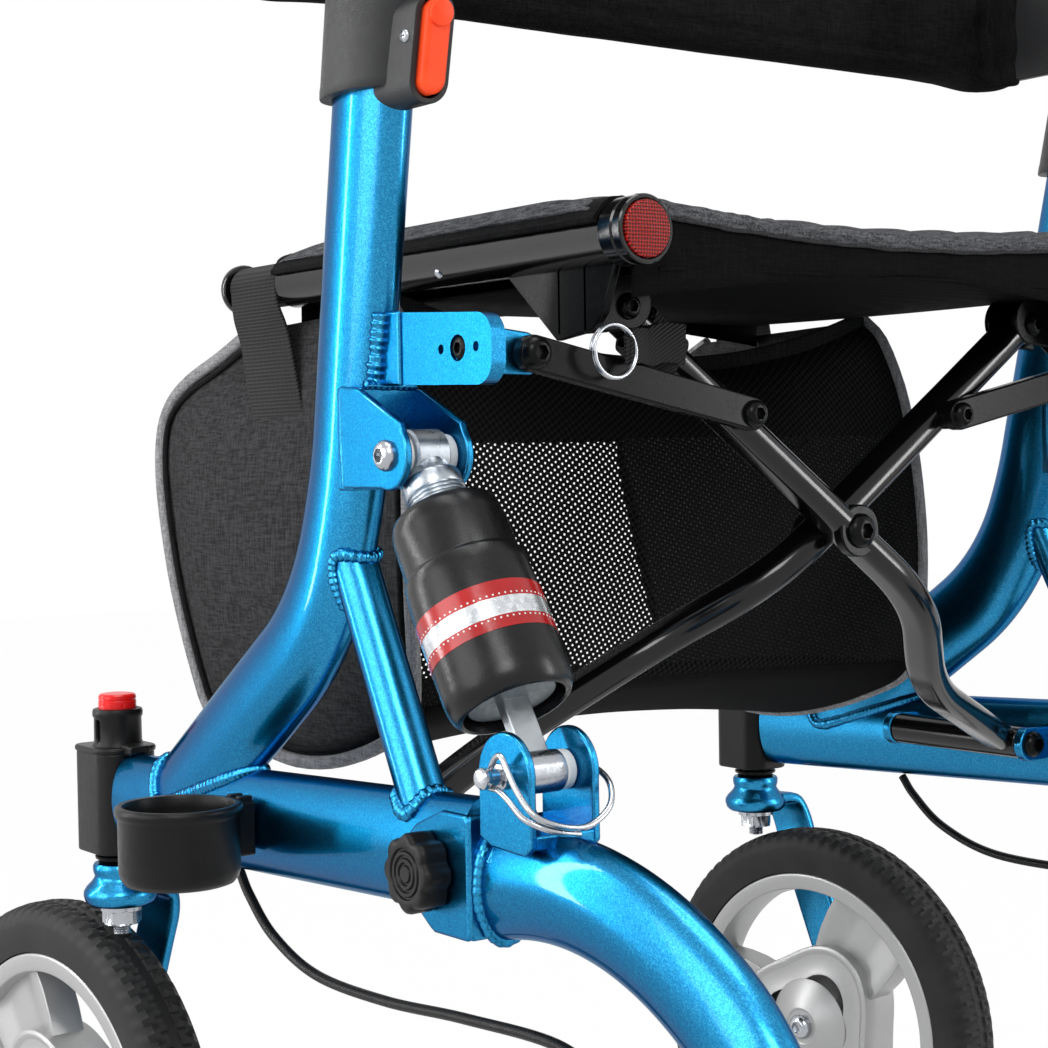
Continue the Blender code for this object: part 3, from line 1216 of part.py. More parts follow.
def seat():
    """Padded seat: it lies over the tops of both rails and sags between them."""
    clear = RAIL_RADIUS + 2 * GAP
    cloth = SEAT_CLOTH
    cover = arc((RAIL_X, RAIL_Z), clear + cloth, 40, 90, 3)
    lining = arc((RAIL_X, RAIL_Z), clear, 168, 40, 5)
    span = RAIL_X
    top_steps = 10
    rings = []
    depth = RAIL_REAR_Y - RIM_LENGTH - 0.0010 - RAIL_FRONT_Y
    low_at = RAIL_X - clear * math.cos(math.radians(12)) - 0.001
    for k in range(7):
        share = k / 6
        edge = math.sin(math.pi / 2 * min(1.0, 0.12 + 1.76 * min(share, 1 - share)))
        y = RAIL_FRONT_Y + depth * share
        top = []
        for j in range(1, top_steps):
            x = span * math.cos(math.pi * j / top_steps)
            fill = 1 - (x / span) ** 2
            top.append((x, RAIL_Z + clear + cloth - SEAT_SAG * fill + 0.004 * edge * fill))
        under = []
        for j in range(0, top_steps + 1):
            x = -low_at * math.cos(math.pi * j / top_steps)
            fill = 1 - (x / low_at) ** 2
            under.append((x, RAIL_Z - 0.002 - (SEAT_FILL * edge + 0.002) * fill))
        right_cover = [(-x, z) for x, z in reversed(cover)]
        right_lining = [(-x, z) for x, z in reversed(lining)]
        outline = cover + top + right_cover + right_lining + under + lining
        rings.append([Vector((x, y, z)) for x, z in outline])
    pad = skin(rings)
    finish(pad, "seat", "fabric", (0, 0, RAIL_Z), smooth=50)


# Bag

def inset(outline, distance):
    """Moves every side of a closed outline inwards. The outline runs with its inside on the left."""
    points = [Vector(point) for point in outline]
    moved = []
    for i, point in enumerate(points):
        before = (point - points[i - 1]).normalized()
        after = (points[(i + 1) % len(points)] - point).normalized()
        first, second = Vector((-before.y, before.x)), Vector((-after.y, after.x))
        moved.append(tuple(point + (first + second) * distance / (1 + first.dot(second))))
    return moved


def bag_rings(outline, half, bulge):
    """The side outline carried from one side panel to the other; the panels swell and the middle sags."""
    low = min(z for y, z in BAG_SIDE)
    middle_y, middle_z = BAG_MIDDLE
    rings = []
    outermost = 1 + bulge / half
    for across, size in ((-outermost, BAG_PANEL), (-1, 1), (0, 1), (1, 1), (outermost, BAG_PANEL)):
        fill = max(0, 1 - across ** 2)
        ring = []
        for y, z in outline:
            lift = (z - low) / (BAG_SIDE[0][1] - low)
            drop = BAG_SAG * fill * lift ** 2 if lift > 0.5 else -BAG_SAG * 0.4 * fill * (1 - 2 * lift)
            spot = (middle_y + (y - middle_y) * size, middle_z + (z - middle_z) * size - drop)
            ring.append(Vector((across * half, RAIL_FRONT_Y + spot[0], RAIL_Z + spot[1])))
        rings.append(ring)
    return rings


def bag():
    """Open-topped pocket with two webbing straps that loop round the rail necks."""
    pocket = skin(bag_rings(BAG_SIDE, BAG_HALF, BAG_BULGE))
    inner = inset(BAG_SIDE, BAG_FABRIC)
    first, rear, front = BAG_SIDE[0], BAG_SIDE[-2], BAG_SIDE[-1]
    inner[0] = (first[0] + BAG_FABRIC, first[1] + BAG_MOUTH)
    inner[-2] = (rear[0] - BAG_FABRIC, rear[1] + BAG_MOUTH)
    inner[-1] = (front[0], front[1] + BAG_MOUTH)
    cut(pocket, skin(bag_rings(inner, BAG_HALF - BAG_FABRIC, BAG_BULGE)))
    loop_y = RAIL_FRONT_Y - NECK_LENGTH / 2
    ring = NECK_RADIUS + 0.0008
    outer = ring + 2 * STRAP_HALF_THICK
    ends = (loop_y - STRAP_HALF_WIDE, loop_y + STRAP_HALF_WIDE)
    for way in (-1, 1):
        rail, panel = way * RAIL_X, way * (BAG_HALF + BAG_BULGE + GAP)
        loop = tube((rail, ends[0], RAIL_Z), (rail, ends[1], RAIL_Z), outer, ring, 10)
        run = [(rail, loop_y, RAIL_Z - ring - 0.001), (rail + way * 0.006, loop_y + 0.006, RAIL_Z - 0.035),
               (panel, loop_y + 0.024, RAIL_Z - 0.075), (panel, loop_y + 0.026, RAIL_Z - STRAP_DROP)]
        join(pocket, loop, strap_band(fillet(run, 0.02), STRAP_HALF_WIDE, STRAP_HALF_THICK))
    finish(pocket, "bag", "fabric", (0, RAIL_FRONT_Y, RAIL_Z), smooth=50)


def strap_band(run, half_wide, half_thick):
    """Flat webbing, its width lying along Y."""
    rings = []
    for point in run:
        near, far = point.y - half_wide, point.y + half_wide
        low, high = point.x - half_thick, point.x + half_thick
        corners = ((low, near), (low, far), (high, far), (high, near))
        rings.append([Vector((x, y, point.z)) for x, y in corners])
    return skin(rings)


def strap_loop():
    """Webbing round the upper part of the rear cross tube, its tail folded round the split ring."""
    y = CROSS_Y["a"]
    along = Vector((CROSS_REACH, 0, CROSS_RISE)).normalized()
    centre = Vector((0, y, CROSS_Z)) + along * STRAP_AT
    section = oblong(CROSS_THICK + 2 * STRAP_THICK, CROSS_TALL + 2 * STRAP_THICK)
    ends = [centre - along * STRAP_HALF, centre + along * STRAP_HALF]
    loop = sweep(ends, section_on(section), Vector((0, 1, 0)))
    ring_x, ring_y, ring_z = ring_centre()
    fold_x = ring_x - RING_RADIUS
    rear = y + CROSS_THICK / 2 + STRAP_THICK / 2
    run = [(centre.x - 0.008, rear), (centre.x + 0.012, rear + 0.0025), (fold_x - 0.006, ring_y - 0.004),
           (fold_x - 0.001, ring_y - 0.0015)]
    spots = [(centre.z, 0.0100), (centre.z, 0.0090), (ring_z + 0.0045, 0.0055), (ring_z + 0.0004, 0.0026)]
    rings = []
    thick = STRAP_THICK / 2
    for (x, b), (z, half) in zip(run, spots):
        rings.append([Vector((x, b - thick, z - half)), Vector((x, b + thick, z - half)),
                      Vector((x, b + thick, z + half)), Vector((x, b - thick, z + half))])
    fold = rod((fold_x, ring_y, ring_z - 0.0030), (fold_x, ring_y, ring_z + 0.0030), 0.0034)
    join(loop, skin(rings), fold)
    hole = oblong(CROSS_THICK + 2 * GAP, CROSS_TALL + 2 * GAP)
    cut(loop, sweep([centre - along * 0.03, centre + along * 0.03], section_on(hole), Vector((0, 1, 0))))
    cut(loop, rod((fold_x, ring_y, ring_z - 0.01), (fold_x, ring_y, ring_z + 0.01), 2 * RING_WIRE))
    finish(loop, "strap_loop", "fabric", tuple(centre))


def section_on(section):
    """Swaps a section's two directions."""
    return [(b, a) for a, b in section]


def ring_centre():
    """The ring hangs behind the link bar and under the rail's gusset."""
    return RAIL_X, CROSS_REAR_Y + RING_BEHIND, RAIL_Z - RING_DROP


def split_ring():
    """Steel ring through the strap's fold."""
    turns = [math.pi * k / 3 for k in range(6)]
    profile = [(RING_RADIUS + RING_WIRE * math.cos(t), RING_WIRE * math.sin(t)) for t in turns]
    centre = ring_centre()
    finish(turn(profile, centre, (0, 1, 0), 18, closed=True), "split_ring", "steel", centre)


# Backrest

def backrest():
    """Padded band in front of the uprights, its ends folded back round the arms."""
    low, half = BACK_LOW_Z, BACK_HALF
    middle, back, bow = low + BACK_TALL / 2, BACK_Y + BACK_RETURN, BACK_Y - BACK_BOW
    section = rounded_box(BACK_THICK / 2, BACK_TALL / 2, 0.0100)
    run = fillet([(half - 0.004, back, middle), (half, BACK_Y, middle), (0.4 * half, bow, middle),
                  (-0.4 * half, bow, middle), (-half, BACK_Y, middle), (-half + 0.004, back, middle)], 0.03)
    rings = []
    for i, point in enumerate(run):
        tangent = (run[min(i + 1, len(run) - 1)] - run[max(i - 1, 0)]).normalized()
        normal = Vector((tangent.y, -tangent.x, 0)).normalized()
        ends = min(1.0, 0.55 + 0.45 * min(i, len(run) - 1 - i) / 3)
        rings.append([point + normal * a * ends + Vector((0, 0, b)) for a, b in section])
    band = skin(rings)
    plate = low + ARM_PLATE_LOW
    reach = ARM_PLATE_THICK / 2 + ARM_PLATE_PLAY
    for way in (-1, 1):
        x = way * (FRAME_X + ARM_PLATE_OUT)
        front = BACK_Y + ARM_PLATE_FRONT - 0.001
        cut(band, box((x - reach, front, plate), (x + reach, front + 0.04, plate + ARM_PLATE_TALL + 0.002)))
    finish(band, "backrest", "fabric", (0, BACK_Y, low), smooth=50)


# Handles

def height_collar(side):
    """Moulded collar on the upright's top, with lever cheeks and the backrest arm."""
    wall = COLLAR_WALL
    body = up_sweep(COLLAR_LOW_Z, COLLAR_TOP_Z, ellipse(TUBE_TALL + 2 * wall, TUBE_WIDE + 2 * wall))
    for way in (-1, 1):
        x = CAM_X + way * (CAM_HALF + CHEEK_GAP + CHEEK_THICK / 2)
        join(body, slab(about(CAM_PIVOT, CHEEK_SHAPE), x - CHEEK_THICK / 2, x + CHEEK_THICK / 2, "yz"))
    low = BACK_LOW_Z + ARM_PLATE_LOW
    high = low + ARM_PLATE_TALL
    front = BACK_Y + ARM_PLATE_FRONT
    rear = front + ARM_PLATE_LENGTH
    x = FRAME_X + ARM_PLATE_OUT
    arm = [(rear, low), (rear, high), (front, high), (front, low + 0.0020)]
    join(body, slab(arm, x - ARM_PLATE_THICK / 2, x + ARM_PLATE_THICK / 2, "yz"))
    hole = ellipse(TUBE_TALL + 2 * GAP, TUBE_WIDE + 2 * GAP)
    cut(body, up_sweep(COLLAR_LOW_Z - 0.02, UPRIGHT_TOP_Z + GAP, hole))
    handle_hole = ellipse(HANDLE_TALL + 2 * GAP, HANDLE_WIDE + 2 * GAP)
    cut(body, up_sweep(UPRIGHT_TOP_Z - 0.01, COLLAR_TOP_Z + 0.04, handle_hole))
    finish(body, "height_collar", "grey_plastic", tuple(up_point(COLLAR_LOW_Z)), side)


def height_lever(side):
    """Cam lever between the cheeks, with its round head at the top."""
    outline = about(CAM_PIVOT, CAM_SHAPE) + arc(CAM_PIVOT, CAM_ROUND, 0, 180, 5)
    lever = soften(slab(outline, CAM_X - CAM_HALF, CAM_X + CAM_HALF, "yz"), 0.0012)
    finish(lever, "height_lever", "orange", (CAM_X, *CAM_PIVOT), side)


def handle_points():
    top = up_point(HANDLE_TOP_Z)
    start = Vector((top.x, top.y + 0.012, GRIP_Z))
    end = start + Vector((0.004, 0.150, 0.010)).normalized() * BAR_LENGTH
    return top, start, end


def handle_tube(side):
    """Sliding oval tube with a moulded head and the bar that carries the grip."""
    tube_solid = up_sweep(HANDLE_BOTTOM_Z, HANDLE_TOP_Z, ellipse(HANDLE_TALL, HANDLE_WIDE))
    top, start, end = handle_points()
    head = sweep([up_point(HANDLE_TOP_Z + rise) for rise in (-HEAD_LOW, HEAD_MIDDLE, HEAD_TOP)],
                 ellipse(HANDLE_TALL + 0.008, HANDLE_WIDE + 0.010))
    soften(head, 0.003)
    join(tube_solid, head, rod(start, end, BAR_RADIUS, 10))
    for way in (-1, 1):
        x = top.x + way * LEVER_EAR_OUT
        join(tube_solid, slab(about((top.y, GRIP_Z), LEVER_EAR), x - LEVER_EAR_HALF, x + LEVER_EAR_HALF, "yz"))
    x, y, z = lever_pivot()
    cut(tube_solid, drill((x - 0.02, y, z), (x + 0.02, y, z), LEVER_PIN))
    finish(tube_solid, "handle_tube", "black_metal", tuple(up_point(HANDLE_BOTTOM_Z)), side)


def lever_pivot():
    top = up_point(HANDLE_TOP_Z)
    return (top.x, top.y + LEVER_PIVOT_AT[0], GRIP_Z + LEVER_PIVOT_AT[1])


def grip(side):
    """Soft grip with a palm swell and finger grooves."""
    top, start, end = handle_points()
    direction = (end - start).normalized()
    length = GRIP_LENGTH
    begin = GRIP_START
    inner = (BAR_RADIUS + GAP) / math.cos(math.pi / 10)
    outer = []
    for k in range(7):
        share = k / 6
        swell = 0.0015 * math.sin(math.pi * share)
        groove = 0.0009 * math.cos(2 * math.pi * 3 * share)
        outer.append((GRIP_RADIUS + swell - groove, begin + length * share))
    bottom = (end - start).length + GAP
    profile = [(0, bottom), (inner, bottom), (inner, begin)] + outer
    profile += [(GRIP_RADIUS - 0.004, begin + length + 0.004), (0, begin + length + 0.005)]
    solid = turn(profile, start, direction, 10)
    finish(solid, "grip", "rubber", tuple(start), side)


def brake_lever(side):
    x, y, z = lever_pivot()
    spine = fillet([(a, b, 0) for a, b in about((y, z), LEVER_SPINE)], 0.02, 3)
    outline = rounded_outline([(p.x, p.y) for p in spine], 0.0055)
    lever = slab(outline, x - 0.0060, x + 0.0060, "yz")
    inner = LEVER_EAR_OUT - LEVER_EAR_HALF - 0.0005
    outer = LEVER_EAR_OUT + LEVER_EAR_HALF + 0.0015
    join(lever, rod((x - inner, y, z), (x + inner, y, z), 0.0072, 10))
    join(lever, rod((x - outer, y, z), (x + outer, y, z), LEVER_PIN, 8))
    finish(lever, "brake_lever", "black_plastic", (x, y, z), side)


def brake_cable(side):
    """Outer cable from the lower tube's underside to the brake at the rear wheel."""
    sign = 1 if side == "l" else -1
    start_z = low_z(CABLE_START_Y) - TUBE_TALL / 2 - CABLE_RADIUS + 0.0007
    stop_x = BRAKE_START + STOP_OUT
    stop_y, stop_z = CABLE_STOP
    route = [(0, CABLE_START_Y, start_z)] + [(x, y, LOW_Z + z) for x, y, z in CABLE_SAG]
    route += [(stop_x, stop_y - 0.0200, stop_z + 0.0040), (stop_x, stop_y - 0.0010, stop_z)]
    points = smooth_route([Vector((sign * (FRAME_X + x), y, z)) for x, y, z in route], 3)
    curve = bpy.data.curves.new("brake_cable", "CURVE")
    curve.dimensions = "3D"
    curve.bevel_depth = CABLE_RADIUS
    curve.bevel_resolution = 2
    curve.use_fill_caps = True
    spline = curve.splines.new("POLY")
    spline.points.add(len(points) - 1)
    for slot, point in zip(spline.points, points):
        slot.co = (*point, 1.0)
    cable = bpy.data.objects.new(f"brake_cable_{side}", curve)
    curve.materials.append(paint("rubber"))
    bpy.context.scene.collection.objects.link(cable)


def smooth_route(points, steps):
    """A smooth curve through the points."""
    ends = [points[0] * 2 - points[1], *points, points[-1] * 2 - points[-2]]
    smooth = []
    for a, b, c, d in zip(ends[:-3], ends[1:-2], ends[2:-1], ends[3:]):
        for k in range(steps):
            t = k / steps
            smooth.append((b * 2 + (c - a) * t + (a * 2 - b * 5 + c * 4 - d) * t ** 2
                           + (b * 3 - a - c * 3 + d) * t ** 3) / 2)
    smooth.append(points[-1])
    return smooth


def cane_holder():
    """Cup for a walking stick, on a block against the left lower tube."""
    tube_face = FRAME_X + TUBE_WIDE / 2 + GAP
    radius, wall = CANE_RADIUS, CANE_WALL
    low = LOW_Z - CANE_DROP
    top = low + CANE_TALL
    centre = (tube_face + CANE_STAND + radius, CANE_Y, 0)
    profile = [(0, low), (radius - 0.009, low), (radius - 0.0025, low + 0.0060), (radius, low + 0.016),
               (radius, top - 0.004), (radius + 0.0014, top), (radius - wall, top),
               (radius - wall - 0.0010, low + 0.012), (radius - 0.009, low + wall), (0, low + wall)]
    cup = turn(profile, centre, (0, 0, 1), 16)
    block_end = (tube_face + CANE_STAND + 0.0020, CANE_Y + 0.0085, top + 0.001)
    block = box((tube_face, CANE_Y - 0.0085, low + 0.010), block_end)
    join(cup, soften(block, 0.001))
    finish(cup, "cane_holder", "black_plastic", (centre[0], CANE_Y, low))


def build():
    clear_scene()
    for side in ("l", "r"):
        side_frame(side)
        caster_housing(side)
        caster_button(side)
        caster_stem(side)
        caster_fork(side)
        front_wheel(side)
        swing_arm(side)
        rear_wheel(side)
        rear_brake(side)
        pivot_knob(side)
        shock_eye(side)
        shock_sleeve(side)
        shock_rod(side)
        shock_pin(side)
        shock_bail(side)
        link_bar(side)
        seat_rail(side)
        reflector(side)
        height_collar(side)
        height_lever(side)
        handle_tube(side)
        grip(side)
        brake_lever(side)
        brake_cable(side)
    cross_tube("a")
    cross_tube("b")
    seat()
    bag()
    strap_loop()
    split_ring()
    backrest()
    cane_holder()


build()
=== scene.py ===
import math

import bmesh
import bpy
from mathutils import Matrix, Vector, noise
from mathutils.bvhtree import BVHTree

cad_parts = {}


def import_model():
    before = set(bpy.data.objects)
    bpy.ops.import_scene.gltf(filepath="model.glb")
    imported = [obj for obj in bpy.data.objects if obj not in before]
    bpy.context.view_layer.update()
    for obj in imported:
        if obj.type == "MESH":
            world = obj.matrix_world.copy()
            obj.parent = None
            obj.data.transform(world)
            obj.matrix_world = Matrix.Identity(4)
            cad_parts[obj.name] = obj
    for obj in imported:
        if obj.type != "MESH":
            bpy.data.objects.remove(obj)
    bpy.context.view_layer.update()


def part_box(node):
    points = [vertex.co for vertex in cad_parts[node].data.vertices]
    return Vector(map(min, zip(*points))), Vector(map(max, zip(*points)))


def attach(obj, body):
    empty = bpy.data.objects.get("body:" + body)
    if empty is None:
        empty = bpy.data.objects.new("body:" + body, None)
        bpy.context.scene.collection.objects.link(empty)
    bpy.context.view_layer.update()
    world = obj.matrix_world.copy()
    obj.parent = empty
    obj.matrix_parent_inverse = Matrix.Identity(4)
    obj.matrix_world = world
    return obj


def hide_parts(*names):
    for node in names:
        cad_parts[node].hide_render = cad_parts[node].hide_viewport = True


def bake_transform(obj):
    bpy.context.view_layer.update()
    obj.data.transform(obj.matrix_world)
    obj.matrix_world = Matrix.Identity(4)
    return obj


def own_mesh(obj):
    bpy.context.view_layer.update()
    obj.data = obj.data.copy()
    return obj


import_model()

# Sizes shared with the CAD model, in metres
FRAME_X = 0.235
TUBE_TALL, TUBE_WIDE = 0.0506, 0.0275
TUBE_OUT, TUBE_IN = FRAME_X + TUBE_WIDE / 2, FRAME_X - TUBE_WIDE / 2
BEND_Y, BEND_Z = -0.0050, 0.5081
LEAN, SPLAY = 0.203, 0.030
WHEEL_RADIUS, REAR_RADIUS, TRAIL = 0.127, 0.102, 0.056
STEM_Y = -0.2547
CASTER_TURN = {"l": math.radians(187.4), "r": math.radians(7.5)}
HINGE_X, HINGE_Z = TUBE_IN - 0.0120, 0.334
PIVOT = (0.082, 0.331)
SHOCK_TOP, SHOCK_LOW = Vector((FRAME_X, 0.0525, 0.5040)), Vector((FRAME_X, 0.1340, 0.3760))
RAIL_X, RAIL_Z, RAIL_RADIUS = 0.165, 0.598, 0.0135
RAIL_FRONT_Y, RAIL_REAR_Y = -0.172, 0.122
SEAT_REAR_Y = RAIL_REAR_Y - 0.0175
CROSS_Z, CROSS_Y = 0.4643, {"a": 0.0720, "b": 0.0565}
SIDES, TUBES = {"l": 1, "r": -1}, {"l": "a", "r": "b"}
ORIGIN, X_AXIS, Y_AXIS, UP = (Vector(v) for v in ((0, 0, 0), (1, 0, 0), (0, 1, 0), (0, 0, 1)))


# Meshes

def mm(rows, *base):
    """Rows of numbers in millimetres, as tuples in metres that count from a base."""
    base = base or (0, 0, 0)
    return [tuple(value / 1000 + start for value, start in zip(row, base)) for row in rows]


def give(name, bm, material, body=None, smooth=35, node=None):
    """Makes a piece from a bmesh, shades it, and lets it ride on a body and stand for a CAD node."""
    bmesh.ops.recalc_face_normals(bm, faces=bm.faces)
    mesh = bpy.data.meshes.new(name)
    bm.to_mesh(mesh)
    bm.free()
    mesh.materials.append(material)
    mesh.shade_smooth()
    mesh.set_sharp_from_angle(angle=math.radians(smooth))
    piece = bpy.data.objects.new(name, mesh)
    bpy.context.scene.collection.objects.link(piece)
    if body:
        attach(piece, body)
    if node:
        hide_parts(node)
    return piece


def mirror(bm, side):
    if side == "r":
        bmesh.ops.scale(bm, vec=(-1, 1, 1), verts=bm.verts)


def drawn(side, *steps):
    """A bmesh from steps, each a drawing function with its values, on its own side."""
    bm = bmesh.new()
    for draw, *values in steps:
        draw(bm, *values)
    mirror(bm, side)
    return bm


def made(name, side, material, body, *steps, smooth=30, node=None):
    """A piece of one side. Its own name and its node's are given without the side."""
    return give(f"{name}_{side}", drawn(side, *steps), material, body, smooth, node and f"{node}_{side}")


def skin(bm, rings, closed=False, caps=True, around=True):
    """Joins rings of points into a surface."""
    loops = [[bm.verts.new(point) for point in ring] for ring in rings]
    for near, far in zip(loops, loops[1:] + (loops[:1] if closed else [])):
        count = max(len(near), len(far))
        for i in range(count if around else count - 1):
            j = (i + 1) % count
            spots = (near[i % len(near)], near[j % len(near)], far[j % len(far)], far[i % len(far)])
            corners = list(dict.fromkeys(spots))
            if len(corners) > 2:
                bm.faces.new(corners)
    if caps and not closed and around:
        for end in (loops[0], loops[-1]):
            if len(end) > 2:
                bm.faces.new(end)
    return loops


def strip(bm, rings):
    """An open sheet through rows of points."""
    return skin(bm, rings, around=False)


def turns(sides):
    return [2 * math.pi * k / sides for k in range(sides)]


def polar(x, radius, angle, centre=(0, 0)):
    return Vector((x, centre[0] + radius * math.cos(angle), centre[1] + radius * math.sin(angle)))


def ellipse(tall, wide, sides=72):
    return [(tall / 2 * math.cos(t), wide / 2 * math.sin(t)) for t in turns(sides)]


def ring_of(middle, first, second, radius, sides):
    """Points round a middle. The radius may depend on the angle."""
    reach = radius if callable(radius) else lambda t: radius
    return [middle + (first * math.cos(t) + second * math.sin(t)) * reach(t) for t in turns(sides)]


def tangent_at(points, i, closed=False):
    count = len(points)
    if closed:
        return (points[(i + 1) % count] - points[i - 1]).normalized()
    return (points[min(i + 1, count - 1)] - points[max(i - 1, 0)]).normalized()


def square_to(tangent, way):
    return (way - tangent * way.dot(tangent)).normalized()


def rings_along(points, section, side=X_AXIS):
    """A section, fixed or given for a share of the way, at each point. Its second axis is the side's."""
    points = [Vector(point) for point in points]
    rings = []
    for i, point in enumerate(points):
        tangent = tangent_at(points, i)
        along = square_to(tangent, side)
        across = tangent.cross(along)
        shape = section(i / (len(points) - 1)) if callable(section) else section
        rings.append([point + across * a + along * b for a, b in shape])
    return rings


def sweep(bm, *values):
    return skin(bm, rings_along(*values))


def wire(bm, points, radius, sides=10, closed=False):
    """A round wire or cord through the points."""
    points = [Vector(point) for point in points]
    normal = tangent_at(points, 0, closed).orthogonal().normalized()
    rings = []
    for i, point in enumerate(points):
        tangent = tangent_at(points, i, closed)
        normal = square_to(tangent, normal)
        size = radius(i / len(points)) if callable(radius) else radius
        rings.append(ring_of(point, normal, tangent.cross(normal), size, sides))
    return skin(bm, rings, closed)


def turn(bm, profile, centre=ORIGIN, axis=UP, sides=48, closed=False):
    """Spins (radius, distance along the axis) pairs about the axis."""
    axis = Vector(axis).normalized()
    first = axis.cross(UP if abs(axis.z) < 0.9 else X_AXIS).normalized()
    second = axis.cross(first)
    rings = []
    for radius, along in profile:
        middle = Vector(centre) + axis * along
        rings.append([middle] if radius == 0 else ring_of(middle, first, second, radius, sides))
    return skin(bm, rings, closed)


def slab(bm, outline, low, high, plane="yz"):
    """Extrudes a flat outline. Plane "yz" extrudes along X, "xz" along Y and "xy" along Z."""
    order = {"yz": (2, 0, 1), "xz": (0, 2, 1), "xy": (0, 1, 2)}[plane]
    rings = [[Vector([(a, b, level)[k] for k in order]) for a, b in outline] for level in (low, high)]
    return skin(bm, rings)


def arc(centre, radius, start, end, steps):
    angles = [math.radians(start + (end - start) * k / steps) for k in range(steps + 1)]
    return [(centre[0] + radius * math.cos(t), centre[1] + radius * math.sin(t)) for t in angles]


def rounded_box(half_a, half_b, radius, centre=(0, 0), steps=5):
    points = []
    for a, b, start in ((1, 1, 0), (-1, 1, 90), (-1, -1, 180), (1, -1, 270)):
        middle = (centre[0] + a * (half_a - radius), centre[1] + b * (half_b - radius))
        points += arc(middle, radius, start, start + 90, steps)
    return points


def flat_box(half_wide, half_thick, radius, steps=5):
    """A rounded box whose width lies along a sweep's side."""
    return [(b, a) for a, b in rounded_box(half_wide, half_thick, radius, steps=steps)]


def trace(start, heading, runs, step):
    """Walks in the Y-Z plane: each run is a length or a (radius, turn to the right) pair."""
    y, z = start
    angle = math.radians(heading)
    points = [(y, z)]
    for run in runs:
        if not isinstance(run, tuple):
            y += run * math.cos(angle)
            z += run * math.sin(angle)
            points.append((y, z))
            continue
        radius, swing = run
        middle = (y + radius * math.sin(angle), z - radius * math.cos(angle))
        steps = max(2, round(swing / step))
        for k in range(1, steps + 1):
            t = angle - math.radians(swing) * k / steps
            points.append((middle[0] - radius * math.sin(t), middle[1] + radius * math.cos(t)))
        angle -= math.radians(swing)
        y, z = points[-1]
    return points


def fillet(points, radius, steps=8):
    points = [Vector(point) for point in points]
    smooth = [points[0]]
    for before, corner, after in zip(points, points[1:], points[2:]):
        reach = min(radius, (before - corner).length * 0.48, (after - corner).length * 0.48)
        start = corner + (before - corner).normalized() * reach
        end = corner + (after - corner).normalized() * reach
        for k in range(steps + 1):
            t = k / steps
            smooth.append(start * (1 - t) ** 2 + corner * 2 * t * (1 - t) + end * t ** 2)
    return smooth + [points[-1]]


def curve_through(points, steps):
    """A smooth curve through the points."""
    points = [Vector(point) for point in points]
    ends = [points[0] * 2 - points[1], *points, points[-1] * 2 - points[-2]]
    smooth = []
    for a, b, c, d in zip(ends, ends[1:], ends[2:], ends[3:]):
        for k in range(steps):
            t = k / steps
            smooth.append((b * 2 + (c - a) * t + (a * 2 - b * 5 + c * 4 - d) * t ** 2
                           + (b * 3 - a - c * 3 + d) * t ** 3) / 2)
    return smooth + [points[-1]]


def apply(piece):
    bpy.context.view_layer.update()
    depsgraph = bpy.context.evaluated_depsgraph_get()
    mesh = bpy.data.meshes.new_from_object(piece.evaluated_get(depsgraph))
    piece.modifiers.clear()
    piece.data = mesh


def change(piece, kind, bake=True, **settings):
    """Adds a modifier, and applies it where it is baked."""
    modifier = piece.modifiers.new(kind, kind)
    for key, value in settings.items():
        setattr(modifier, key, value)
    if bake:
        apply(piece)


def soft_edge(piece, width, segments=2):
    change(piece, "BEVEL", False, width=width, segments=segments, limit_method="ANGLE",
           angle_limit=math.radians(35))


def cut_out(piece, bm):
    """Cuts a bmesh out of a piece."""
    tool = give("cutter", bm, piece.data.materials[0])
    change(piece, "BOOLEAN", operation="DIFFERENCE", solver="EXACT", object=tool)
    bpy.data.objects.remove(tool, do_unlink=True)


def up_point(z):
    """The upright's middle at a height."""
    rise = z - BEND_Z
    return Vector((FRAME_X + SPLAY * rise, BEND_Y + LEAN * rise, z))


def low_z(y):
    """The lower tube's middle at a length."""
    return 0.3197 + 0.047 * (y - STEM_Y)


# Materials

def grey(value):
    return (value, value, value)


